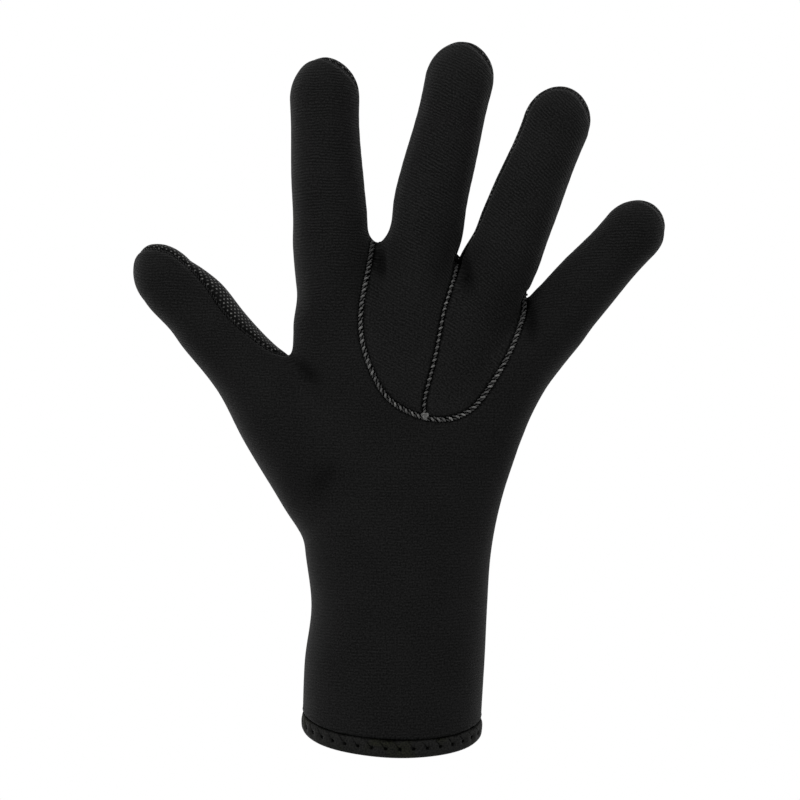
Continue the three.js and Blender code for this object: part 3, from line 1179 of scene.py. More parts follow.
def triangulated(points: np.ndarray, quads: np.ndarray) -> np.ndarray:
    """Quads cut along their shorter diagonals.

    Args:
        points: the mesh's points.
        quads: rows of four point numbers.

    Returns:
        Rows of three.
    """
    first = np.linalg.norm(points[quads[:, 0]] - points[quads[:, 2]], axis=1)
    second = np.linalg.norm(points[quads[:, 1]] - points[quads[:, 3]], axis=1)
    turned = np.where((first <= second)[:, None], quads, np.roll(quads, -1, axis=1))
    return np.vstack([turned[:, [0, 1, 2]], turned[:, [0, 2, 3]]])


def meshed(form: Callable[[np.ndarray], np.ndarray], pitch: float, relaxing: int) -> Surface:
    """A fine, even mesh of a form.

    Args:
        form: signed distance.
        pitch: distance between points.
        relaxing: how many times to even the points out.

    Returns:
        The surface.
    """
    low, high = np.array(BOX_LOW), np.array(BOX_HIGH)
    coarse = 2 * pitch
    shape = tuple(int(n) for n in np.ceil((high - low) / coarse) + 1)
    values = doubled(sampled(form, low, shape, coarse))
    near = np.argwhere(np.abs(values) < 1.3 * pitch)
    values[tuple(near.T)] = np.concatenate([form(low + part * pitch) for part in np.array_split(near, 16)])
    points, quads = surface_net(values, low, pitch)
    points = settled(points, form, 3)
    points = relaxed(points, quads, form, relaxing)
    return Surface(points, triangulated(points, quads))


def mesh_object(
    name: str, points: np.ndarray, faces: np.ndarray, values: dict[str, np.ndarray]
) -> bpy.types.Object:
    """Makes a smooth-shaded object.

    Args:
        name: the object's name.
        points: in millimetres.
        faces: rows of three or four point numbers.
        values: numbers or vectors for each point, which materials read by name.

    Returns:
        The object, in the scene.
    """
    mesh = bpy.data.meshes.new(name)
    mesh.vertices.add(len(points))
    mesh.vertices.foreach_set("co", (points * MM).astype(np.float32).ravel())
    mesh.loops.add(faces.size)
    mesh.loops.foreach_set("vertex_index", faces.astype(np.int32).ravel())
    mesh.polygons.add(len(faces))
    mesh.polygons.foreach_set("loop_start", np.arange(0, faces.size, faces.shape[1], dtype=np.int32))
    mesh.polygons.foreach_set("use_smooth", np.ones(len(faces), bool))
    mesh.update(calc_edges=True)
    mesh.validate()
    for key, value in values.items():
        vector = value.ndim == 2
        layer = mesh.attributes.new(key, "FLOAT_VECTOR" if vector else "FLOAT", "POINT")
        layer.data.foreach_set("vector" if vector else "value", value.astype(np.float32).ravel())
    made = bpy.data.objects.new(name, mesh)
    bpy.context.scene.collection.objects.link(made)
    return made


def side_lift(points: np.ndarray) -> np.ndarray:
    """How much higher the opening is at its two sides, where the side seams pull it up.

    Args:
        points: one in each row.

    Returns:
        Millimetres for each point.
    """
    return SIDE_LIFT * np.clip(np.abs(points[:, 0]) / (0.81 * HAND_HALF_WIDTH), 0, 1) ** 4


def above_hem(points: np.ndarray) -> np.ndarray:
    """How far points are above the seam at the top of the hem.

    Args:
        points: one in each row.

    Returns:
        Millimetres along the opening's direction.
    """
    return points @ opening_normal() - HEM_HEIGHT - side_lift(points)


def chained(edges: np.ndarray) -> list[list[int]]:
    """Joins directed edges end to end.

    Args:
        edges: two point numbers in each row.

    Returns:
        Lines of point numbers, the longest first. A closed one ends with its first number.
    """
    after: dict[int, list[int]] = {}
    for a, b in edges.tolist():
        after.setdefault(a, []).append(b)
    entered = set(edges[:, 1].tolist())
    lines = []
    for start in [a for a in after if a not in entered] + list(after):
        while after.get(start):
            line = [start]
            while after.get(line[-1]):
                line.append(after[line[-1]].pop())
                if line[-1] == start:
                    break
            lines.append(line)
    return sorted(lines, key=len, reverse=True)


def resampled(points: np.ndarray, step: float) -> np.ndarray:
    """The same line with evenly spaced points.

    Args:
        points: a line.
        step: about how far apart the new points are.

    Returns:
        The new line, with the same ends.
    """
    run = np.concatenate([[0], np.cumsum(np.linalg.norm(np.diff(points, axis=0), axis=1))])
    even = np.linspace(0, run[-1], max(2, round(run[-1] / step) + 1))
    return np.stack([np.interp(even, run, points[:, k]) for k in range(points.shape[1])], axis=1)


@dataclass
class SeamPath:
    """A sewn line on the form, as evenly spaced points with outward directions.

    spread is how wide the sunken cloth beside it is, against that beside the thick yoke seam.
    """

    points: np.ndarray
    normals: np.ndarray
    spread: float = 1.0

    @cached_property
    def places(self) -> np.ndarray:
        """Distance of each point along the seam."""
        return np.concatenate([[0], np.cumsum(np.linalg.norm(np.diff(self.points, axis=0), axis=1))])

    @cached_property
    def along(self) -> np.ndarray:
        """Directions along the seam."""
        return unit(np.gradient(self.points, axis=0))

    def part(self, start: float, end: float) -> SeamPath:
        """The seam without its ends.

        Args:
            start: how much to leave out at its first end.
            end: how much to leave out at its last.

        Returns:
            The shorter seam.
        """
        kept = (self.places > start) & (self.places < self.places[-1] - end)
        return SeamPath(self.points[kept], self.normals[kept], self.spread)

    @classmethod
    def drawn(cls, line: np.ndarray, form: GloveForm, spread: float, step: float = 0.4) -> SeamPath:
        """Smooths a rough line and lays it on the form.

        Args:
            line: points close to the form.
            form: the glove.
            spread: how wide the sunken cloth beside it is.
            step: distance between the path's points.

        Returns:
            The path.
        """
        line = resampled(line, 1.0)
        for _ in range(4):
            line[1:-1] = (line[:-2] + 2 * line[1:-1] + line[2:]) / 4
        line = settled(resampled(line, step), form.distance, 2)
        return cls(line, form.normals(line), spread)


@dataclass
class SeamMap:
    """Finds the nearest seam to a point."""

    paths: list[SeamPath]
    reach: float = 7.0

    @cached_property
    def tree(self) -> KDTree:
        """All the seams' points."""
        points = np.vstack([path.points for path in self.paths])
        tree = KDTree(len(points))
        for number, point in enumerate(points.tolist()):
            tree.insert(point, number)
        tree.balance()
        return tree

    def nearest(self, points: np.ndarray) -> tuple[np.ndarray, np.ndarray]:
        """Looks up points.

        Args:
            points: one in each row.

        Returns:
            Distance from the nearest seam against its spread, no more than the reach, and the place along it.
        """
        seams = np.vstack([path.points for path in self.paths])
        along = np.vstack([path.along for path in self.paths])
        places = np.concatenate([path.places for path in self.paths])
        spread = np.concatenate([np.full(len(path.points), path.spread) for path in self.paths])
        found = np.array([self.tree.find(point)[1] for point in points.tolist()])
        offset = points - seams[found]
        ahead = row_dot(offset, along[found])
        held = np.clip(ahead, -0.4, 0.4)
        gap = np.linalg.norm(offset - held[:, None] * along[found], axis=1)
        return np.minimum(gap / spread[found], self.reach), places[found] + held


@dataclass(frozen=True)
class SeamRelief:
    """How the cloth stands near a seam: its edge rolls in, and it sinks, puffs and puckers beside that."""

    roll: float = 0.62
    roll_reach: float = 1.7
    roll_radius: float = 0.85
    dip: float = 0.34
    dip_reach: float = 3.4
    puff: float = 0.16
    puff_place: float = 3.8
    puff_width: float = 1.7
    pucker: float = 0.07
    pucker_reach: float = 2.4
    pucker_pitch: float = 5.2
    slow_pitch: float = 8.7

    def height(self, gap: np.ndarray, place: np.ndarray) -> np.ndarray:
        """How far the cloth stands out.

        Args:
            gap: distance from the seam.
            place: distance along the seam.

        Returns:
            Millimetres outward.
        """
        dip = self.dip * np.clip(1 - gap / self.dip_reach, 0, 1) ** 2
        turned = np.clip((self.roll_reach - gap) / self.roll_radius, 0, 1)
        edge = self.roll * (1 - np.sqrt(1 - turned**2))
        puff = self.puff * np.exp(-(((gap - self.puff_place) / self.puff_width) ** 2))
        wave = np.sin(place * TWO_PI / self.pucker_pitch + 1.1 * np.sin(place / 7.3))
        wave += 0.5 * np.sin(place * TWO_PI / self.slow_pitch + 2.0)
        pucker = self.pucker * wave * np.exp(-gap / self.pucker_reach) * gap / (gap + 0.6)
        return puff - dip - edge + pucker


@dataclass
class Shell:
    """The outer cloth before it is cut into panels, and the seams on it."""

    form: GloveForm
    inset: KnuckleInset
    relief: SeamRelief = field(default_factory=SeamRelief)
    on_seam: float = 0.02
    read_as_seam: float = 0.05
    pull_reach: float = 0.36 * FINE_PITCH
    fine_reach: float = 2.3
    wall: float = 1.3
    crotch_shade: float = 0.35
    crotch_reach: float = 15.0

    def __post_init__(self) -> None:
        """Meshes the form, draws the seams on it and cuts it."""
        whole = meshed(self.form.distance, FINE_PITCH, 3)
        for name in ("palm", "middle", "ring", "hem"):
            whole.points = self.attracted(whole.points, name)
        whole.values = self.form.survey(whole.points)
        for name in ("middle", "ring", "hem"):
            whole.values[name] = self.level(name, whole.points)
        for name in ("palm", "middle", "ring", "hem"):
            value = whole.values[name]
            value[np.abs(value) < self.on_seam] = 0
        whole.values["normal"] = self.form.normals(whole.points)
        cuff = whole.clipped("hem")
        back = cuff.negated("palm").clipped("palm")
        rest = back.negated("middle").clipped("middle")
        self.panels = {
            Node.PALM: cuff.clipped("palm"),
            Node.MIDDLE: back.clipped("middle"),
            Node.RING: rest.clipped("ring"),
            Node.BACK: rest.negated("ring").clipped("ring"),
        }
        self.find_seams()

    def level(self, name: str, points: np.ndarray) -> np.ndarray:
        """The value whose zero line is a seam.

        Args:
            name: which seam.
            points: one in each row.

        Returns:
            A number for each point.
        """
        if name == "palm":
            return self.form.survey(points)["palm"]
        if name == "hem":
            return above_hem(points)
        return self.inset.inside(points, 0 if name == "middle" else 1)

    def attracted(self, points: np.ndarray, name: str) -> np.ndarray:
        """Moves the points that are close to a seam onto it.

        Args:
            points: on the form.
            name: which seam.

        Returns:
            The points.
        """
        value = self.level(name, points)
        near = np.abs(value) < self.pull_reach
        if name in ("middle", "ring"):
            near &= points[:, 1] < 4
        moved = points[near]
        normals = self.form.normals(moved)
        for _ in range(3):
            slope = gradient(lambda p: self.level(name, p), moved, 0.2)
            slope -= row_dot(slope, normals)[:, None] * normals
            size = row_dot(slope, slope)
            step = -self.level(name, moved) / np.maximum(size, 0.2)
            moved = moved + np.clip(step, -0.4, 0.4)[:, None] * slope
        result = points.copy()
        result[near] = settled(moved, self.form.distance, 1)
        return result

    def find_seams(self) -> None:
        """Reads the seams' lines off the edges of the panels."""
        close = self.read_as_seam

        def lines(
            node: Node, spread: float, chosen: Callable[[dict[str, np.ndarray]], np.ndarray]
        ) -> list[SeamPath]:
            """Seams on one panel's edge.

            Args:
                node: which panel.
                spread: how wide the sunken cloth beside the seams is.
                chosen: tells from the panel's values which points are on the seams.

            Returns:
                The seams.
            """
            panel = self.panels[node]
            edges = panel.border()
            edges = edges[chosen(panel.values)[edges].all(axis=1)]
            paths = [panel.points[line] for line in chained(edges) if len(line) > 12]
            return [SeamPath.drawn(path, self.form, spread) for path in paths]

        self.side_seams = lines(Node.PALM, SIDE_SPREAD, lambda v: np.abs(v["palm"]) < close)
        self.yoke_seams = lines(
            Node.BACK, 1.0, lambda v: (np.abs(v["palm"]) > close) & (np.abs(v["hem"]) > close)
        )
        self.parting_seams = lines(
            Node.MIDDLE,
            PARTING_SPREAD,
            lambda v: (np.abs(v["ring"]) < 0.3) & (np.abs(v["middle"]) < close) & (v["palm"] > 0.3),
        )
        self.hem_seams = [
            path
            for node in (Node.PALM, Node.BACK)
            for path in lines(node, HEM_SPREAD, lambda v: np.abs(v["hem"]) < close)
        ]
        for name in ("side_seams", "yoke_seams", "parting_seams", "hem_seams"):
            logging.info("%s: %s mm", name, [round(float(path.places[-1])) for path in getattr(self, name)])

    @cached_property
    def seam_map(self) -> SeamMap:
        """Every seam of the shell."""
        return SeamMap(self.side_seams + self.yoke_seams + self.parting_seams + self.hem_seams)

    def build(self, node: Node, slot: Slot, finish: Finish) -> bpy.types.Object:
        """Makes one panel.

        Args:
            node: which.
            slot: the record's slot of its finish.
            finish: the finish.

        Returns:
            The panel's object.
        """
        panel = self.panels[node]
        gap, _ = self.seam_map.nearest(panel.points)
        old = len(panel.points)
        panel = panel.refined(gap < self.fine_reach)
        panel.points[old:] = settled(panel.points[old:], self.form.distance, 1)
        normals = unit(panel.values["normal"])
        gap, place = self.seam_map.nearest(panel.points)
        border = panel.border()
        gap[np.unique(border)] = 0
        height = self.relief.height(gap, place)
        shade = np.zeros(len(height))
        for fold in FOLDS:
            rise, depth = fold.height(panel.points)
            height += rise
            shade = np.maximum(shade, depth)
        for corner in self.inset.corners:
            away = np.linalg.norm(panel.points - corner - [0, -8, 0], axis=1)
            shade = np.maximum(shade, self.crotch_shade * np.exp(-((away / self.crotch_reach) ** 2)))
        points = panel.points + normals * height[:, None]
        flat = panel.values["cloth_palm" if node is Node.PALM else "cloth_back"]
        cloth = np.column_stack([flat, np.zeros(len(flat))])
        if node is Node.PALM:
            # The print is left off where the flat cloth can't follow the form, in the crotches
            shade = np.clip((0.7 - panel.share_of_area(cloth)) / 0.25, 0, 1)
        wall, renamed = np.unique(border, return_inverse=True)
        a, b = renamed.reshape(-1, 2).T + len(points)
        start, end = border.T
        sides = np.vstack([np.stack([end, start, a], axis=1), np.stack([end, a, b], axis=1)])
        points = np.vstack([points, points[wall] - normals[wall] * self.wall])
        values = {
            "cloth": np.vstack([cloth, cloth[wall]]),
            "edge": np.concatenate([gap, gap[wall]]),
            "shade": np.concatenate([shade, shade[wall]]),
        }
        made = mesh_object(node.value + "_cloth", points, np.vstack([panel.triangles, sides]), values)
        return placed(made, slot, finish, node)


def placed(made: bpy.types.Object, slot: Slot | None, finish: Finish, *nodes: Node) -> bpy.types.Object:
    """Gives a piece its finish and its place in the frame.

    Args:
        made: the piece.
        slot: the record's slot of its finish, if it has one. Not used.
        finish: the finish.
        nodes: the CAD nodes that it stands for.

    Returns:
        The piece.
    """
    made.data.materials.append(finish.material)
    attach(made, "root")
    if nodes:
        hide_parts(*[node.value for node in nodes])
    logging.info("%s: %d faces", made.name, len(made.data.polygons))
    return made


def tubes(
    centres: np.ndarray, radii: np.ndarray, ups: np.ndarray, sides: int = 8
) -> tuple[np.ndarray, np.ndarray, np.ndarray]:
    """Short bent threads, as bright as a knot.

    Args:
        centres: points along each thread, as threads by points by 3.
        radii: as threads by points.
        ups: outward directions, as threads by points by 3.
        sides: facets round.

    Returns:
        Points, quads, and for each point its place along and round the thread and how bright the thread is.
    """
    count, rings, _ = centres.shape
    along = unit(np.gradient(centres, axis=1))
    side = unit(np.cross(along, ups))
    up = np.cross(side, along)
    angle = np.arange(sides) * TWO_PI / sides
    ring = side[:, :, None] * np.cos(angle)[:, None] + up[:, :, None] * np.sin(angle)[:, None]
    points = centres[:, :, None] + ring * radii[:, :, None, None]
    t, r, s = np.meshgrid(np.arange(count), np.arange(rings - 1), np.arange(sides), indexing="ij")
    base, following = (t * rings + r) * sides, (s + 1) % sides
    quads = np.stack([base + s, base + following, base + sides + following, base + sides + s], axis=-1)
    step = np.linalg.norm(np.diff(centres, axis=1), axis=2)
    run = np.concatenate([np.zeros((count, 1)), np.cumsum(step, axis=1)], axis=1)
    values = np.empty((count, rings, sides, 3))
    values[..., 0] = run[:, :, None]
    values[..., 1] = angle / TWO_PI
    values[..., 2] = KNOT_BRIGHTNESS
    return points.reshape(-1, 3), quads.reshape(-1, 4), values.reshape(-1, 3)


@dataclass(frozen=True)
class StitchRow:
    """A row of short threads over a seam.

    reach goes across it either way, and slant along it from end to end. rise is how high a thread's middle
    stands over the cloth and sink how deep its ends go. phase moves the row along by a share of its pitch, and
    offset moves it across. The rest is how uneven the sewing is, as shares, and how bright the dullest thread is.
    """

    pitch: float
    reach: float
    slant: float
    thickness: float
    rise: float
    sink: float
    phase: float = 0.0
    offset: float = 0.0
    rings: int = 7
    uneven_pitch: float = 0.05
    uneven_size: float = 0.06
    dullest: float = 0.3

    def sew(
        self, path: SeamPath, draw: np.random.Generator, shown: Callable[[np.ndarray], np.ndarray]
    ) -> tuple[np.ndarray, np.ndarray, np.ndarray]:
        """Lays the row on a seam.

        Args:
            path: the seam.
            draw: random numbers for the unevenness of sewing.
            shown: how bright the thread is painted at each point, from 0 to 1.

        Returns:
            Points, quads and thread values, as tubes gives them.
        """
        count = max(1, int(path.places[-1] / self.pitch))
        at = (np.arange(count) + 0.5 + self.phase) * self.pitch
        at = np.clip(at + draw.normal(0, self.uneven_pitch * self.pitch, count), 0, path.places[-1])

        def read(rows: np.ndarray) -> np.ndarray:
            """Reads the path's rows at the threads."""
            return np.stack([np.interp(at, path.places, rows[:, k]) for k in range(3)], axis=1)[:, None]

        centre, along, up = read(path.points), unit(read(path.along)), unit(read(path.normals))
        across = np.cross(up, along)
        u = np.linspace(-1, 1, self.rings)[None, :, None]
        uneven = 1 + draw.normal(0, self.uneven_size, (3, count, 1, 1))
        height = self.rise - (self.rise + self.sink) * np.abs(u) ** 2.4
        centres = centre + across * (self.offset + u * self.reach * uneven[0])
        centres = centres + along * u * self.slant / 2 * uneven[1] + up * height * uneven[2]
        radii = self.thickness * (1 - 0.45 * np.abs(u[..., 0]) ** 3) * uneven[0][..., 0]
        points, quads, values = tubes(centres, radii, np.broadcast_to(up, centres.shape))
        bright = draw.uniform(self.dullest, 1, count) * shown(centre[:, 0])
        values.reshape(count, -1, 3)[:, :, 2] = bright[:, None]
        return points, quads, values


def merged(
    parts: list[tuple[np.ndarray, np.ndarray, np.ndarray]]
) -> tuple[np.ndarray, np.ndarray, np.ndarray]:
    """Several meshes as one.

    Args:
        parts: points, faces and values of each.

    Returns:
        Points, faces and values.
    """
    starts = np.cumsum([0] + [len(points) for points, _, _ in parts])
    faces = np.vstack([quads + start for (_, quads, _), start in zip(parts, starts)])
    return np.vstack([p for p, _, _ in parts]), faces, np.vstack([v for _, _, v in parts])


def thread_knot(centre: np.ndarray, up: np.ndarray, size: float) -> tuple[np.ndarray, np.ndarray, np.ndarray]:
    """The small lump where a seam's thread is tied off.

    Args:
        centre: where it is.
        up: the way out of the cloth.
        size: its half width.

    Returns:
        Points, quads and thread values, as tubes gives them.
    """
    t = np.linspace(0, TWO_PI, 41)
    side = unit(np.cross(up, [0.0, 0.0, 1.0]))
    other = np.cross(side, up)
    flat = np.stack([np.sin(t) + 2 * np.sin(2 * t), np.cos(t) - 2 * np.cos(2 * t), -np.sin(3 * t)], axis=1)
    line = centre + (flat[:, :1] * side + flat[:, 1:2] * other) * size / 3 + flat[:, 2:] * up * size / 3.5
    ups = np.broadcast_to(up, (1, len(t), 3))
    return tubes(line[None], np.full((1, len(t)), size * 0.36), ups + 0.01)


@dataclass(frozen=True)
class Sewing:
    """The threads of one kind of seam."""

    name: str
    rows: tuple[StitchRow, ...]
    seed: int
    shown: Callable[[np.ndarray], np.ndarray] = lambda points: np.ones(len(points))

    def build(
        self, paths: list[SeamPath], finish: Finish, knots: tuple[tuple[np.ndarray, np.ndarray], ...] = ()
    ) -> bpy.types.Object:
        """Sews the seams.

        Args:
            paths: where they run.
            finish: the thread's finish.
            knots: thread knots to add, as pairs of centre and outward direction.

        Returns:
            The threads, as one object.
        """
        draw = np.random.default_rng(self.seed)
        parts = [row.sew(path, draw, self.shown) for path in paths for row in self.rows]
        parts += [thread_knot(centre, up, KNOT_SIZE) for centre, up in knots]
        points, quads, values = merged(parts)
        made = mesh_object(self.name, points, quads, {"thread": values})
        return placed(made, None, finish)


@dataclass(frozen=True)
class HemBand:
    """The folded band round the opening, with the dimples of its blind stitches."""

    hand: Hand
    stations: int = 800
    tick_pitch: float = 5.35
    tick_height: float = 3.4
    hole_depth: float = 0.75
    dimple_depth: float = 0.2
    tail_depth: float = 0.16
    tail_slant: float = 0.85
    pull: float = 0.16

    def rim(self, angle: np.ndarray, offset: np.ndarray, height: np.ndarray) -> np.ndarray:
        """Points near the cuff's outline.

        Args:
            angle: radians round the opening.
            offset: how far outside the cuff.
            height: above the opening's plane.

        Returns:
            One point for each angle.
        """
        z = height.copy()
        for _ in range(4):
            points = self.hand.outline(angle, z, offset)
            z += (height + side_lift(points) - points @ opening_normal()) / opening_normal()[2]
        return self.hand.outline(angle, z, offset)

    def profile(self) -> np.ndarray:
        """The band's section.

        Returns:
            Offset and height of each point, from the seam down outside, round the fold and up inside.
        """
        radius = HEM_SHEET / 2
        turn = np.radians(np.arange(-15, -180, -22.5))
        tongue = [[-2.1, 6.5], [-1.9, 7.2], [-1.4, 7.3], [-1.05, 6.9], [-0.62, 6.4]]
        outer = [[-0.12, 6.22], [0.22, 5.85], [0.4, 5.2], [0.5, 4.4], [0.5, 3.2], [0.5, 2.2]]
        fold = np.stack([HEM_PROUD - radius + radius * np.cos(turn), radius + radius * np.sin(turn)], axis=1)
        inner = [[-2.7, 2.4], [-2.74, 3.6], [-2.7, 4.8], [-2.6, 5.6], [-2.4, 6.1]]
        return smooth_line(np.vstack([tongue, outer, fold, inner]), 3)

    @cached_property
    def seat(self) -> SeamPath:
        """The line of the blind stitches."""
        angle = np.linspace(0, TWO_PI, self.stations + 1)
        line = self.rim(angle, np.full_like(angle, HEM_PROUD), np.full_like(angle, self.tick_height))
        outward = unit(line * [1 / HAND_HALF_WIDTH**2, 1 / HAND_HALF_DEPTH**2, 0])
        return SeamPath(line, outward)

    def build(self, finish: Finish) -> bpy.types.Object:
        """Makes the band.

        Args:
            finish: its finish.

        Returns:
            The band's object.
        """
        profile = self.profile()
        count = len(profile)
        angle = np.repeat(np.arange(self.stations) * TWO_PI / self.stations, count)
        place = np.repeat(self.seat.places[:-1], count)
        offset, height = np.tile(profile, (self.stations, 1)).T
        outside = np.clip((offset + 0.3) / 0.6, 0, 1)
        pitch = self.seat.places[-1] / round(self.seat.places[-1] / self.tick_pitch)
        from_tick = (place / pitch % 1 - 0.5) * pitch
        above = height - self.tick_height
        hole = np.exp(-((from_tick / 0.62) ** 2) - (above / 0.5) ** 2)
        dimple = self.hole_depth * hole
        dimple += self.dimple_depth * np.exp(-((from_tick / 1.6) ** 2) - (above / 1.1) ** 2)
        aslant = from_tick + self.tail_slant * above
        tail = outside * np.exp(-((aslant / 0.3) ** 2)) * np.clip(above / 0.6, 0, 1)
        dimple += self.tail_depth * tail
        pull = self.pull * np.cos(place * TWO_PI / pitch) * np.exp(-((above / 1.6) ** 2))
        slow = 0.09 * np.sin(place / 9.0) + 0.06 * np.sin(place / 4.3 + 1.0)
        rise = 0.12 * np.sin(place / 6.1)
        points = self.rim(angle, offset + outside * (pull - dimple + slow), height + rise)
        s, p = np.meshgrid(np.arange(self.stations), np.arange(count), indexing="ij")
        after, up = (s + 1) % self.stations, (p + 1) % count
        quads = np.stack([s * count + p, s * count + up, after * count + up, after * count + p], axis=-1)
        run = np.concatenate([[0], np.cumsum(np.linalg.norm(np.diff(profile, axis=0), axis=1))])
        cloth = np.column_stack([place, np.tile(run, self.stations), np.zeros(len(place))])
        uneven = 2.4 + 0.8 * np.sin(place / 2.1) * np.sin(place / 5.3)
        # Painted shade: the band is painted dark under the seam along its top and in the stitch holes, and darker
        # along the slanted tail dents, through its finish's seam shadow
        edge = np.clip((6.75 - height) * uneven, 0, 6) * (1 - 0.9 * hole)
        edge = np.where(hole > 0.1, np.minimum(edge, 1.4 * (1 - hole)), edge)
        edge = np.where(tail > 0.1, np.minimum(edge, 2 - 1.2 * tail), edge)
        values = {"cloth": cloth, "edge": edge}
        made = mesh_object(Node.HEM.value + "_band", points, quads.reshape(-1, 4), values)
        return placed(made, Slot.HEM, finish, Node.HEM)


@dataclass(frozen=True)
class Lining:
    """The inner face of the cloth, seen through the opening."""

    form: GloveForm
    foot: float = 1.5
    away_from_seams: float = 6.0

    def build(self, finish: Finish) -> bpy.types.Object:
        """Makes the lining.

        Args:
            finish: its finish.

        Returns:
            The lining's object.
        """
        surface = meshed(lambda points: self.form.distance(points) + SHEET, LINING_PITCH, 0)
        surface.values = {"start": above_hem(surface.points) + self.foot}
        surface = surface.clipped("start")
        cloth = np.column_stack([surface.points[:, [0, 2]], np.zeros(len(surface.points))])
        values = {"cloth": cloth, "edge": np.full(len(cloth), self.away_from_seams)}
        made = mesh_object("inner_lining", surface.points, surface.triangles[:, ::-1], values)
        return placed(made, Slot.KNIT, finish)


def linear(hexed: str) -> tuple[float, float, float, float]:
    """A colour for a shader.

    Args:
        hexed: sRGB as six hex digits.

    Returns:
        Linear red, green and blue, with an alpha of 1.
    """
    channels = []
    for start in (0, 2, 4):
        value = int(hexed[start : start + 2], 16) / 255
        channels.append(value / 12.92 if value <= 0.04045 else ((value + 0.055) / 1.055) ** 2.4)
    return (*channels, 1.0)


def add_node(
    tree: bpy.types.NodeTree, kind: str, inputs: dict | tuple = (), output: int | str = 0, **settings: object
) -> bpy.types.NodeSocket | None:
    """Adds a node with its settings, values and links.

    Args:
        tree: the material's or world's tree.
        kind: the node's type, without the ShaderNode that its name begins with.
        inputs: a value, or a socket to link, for each input in order, or else by name or number.
        output: which of its outputs is wanted.
        settings: properties of the node.

    Returns:
        The output, or None for a node that has none.
    """
    made = tree.nodes.new("ShaderNode" + kind)
    for name, value in settings.items():
        setattr(made, name, value)
    for name, value in inputs.items() if isinstance(inputs, dict) else enumerate(inputs):
        if isinstance(value, bpy.types.NodeSocket):
            tree.links.new(value, made.inputs[name])
        else:
            made.inputs[name].default_value = value
    return made.outputs[output] if made.outputs else None


# Adds a node to one material's tree
AddNode = Callable[..., bpy.types.NodeSocket]


class Lumps(NamedTuple):
    """Soft noise with lumps of a size in millimetres. Its levels low and high are moved to least and most."""

    size: float
    detail: float
    low: float
    high: float
    least: float
    most: float

    def drawn(self, add: AddNode, place: bpy.types.NodeSocket) -> bpy.types.NodeSocket:
        """Draws the noise on the cloth.

        Args:
            add: adds a node to the tree.
            place: where on the cloth.

        Returns:
            Its level there, from least to most.
        """
        noise = add("TexNoise", {"Vector": place, "Scale": 1 / self.size, "Detail": self.detail})
        return add("MapRange", (noise, self.low, self.high, self.least, self.most))


@dataclass(frozen=True)
class Finish:
    """A finish by its name and main colour. Its material is made once."""

    name: str
    colour: str

    @cached_property
    def material(self) -> bpy.types.Material:
        """The Blender material."""
        made = bpy.data.materials.new(self.name)
        made.use_nodes = True
        made.node_tree.nodes.clear()
        add = partial(add_node, made.node_tree)
        add("OutputMaterial", {"Surface": add("BsdfPrincipled", self.dressed(add))})
        return made

    def dressed(self, add: AddNode) -> dict:
        """What the shader gets, by the name of its input, from nodes made with add."""
        raise NotImplementedError


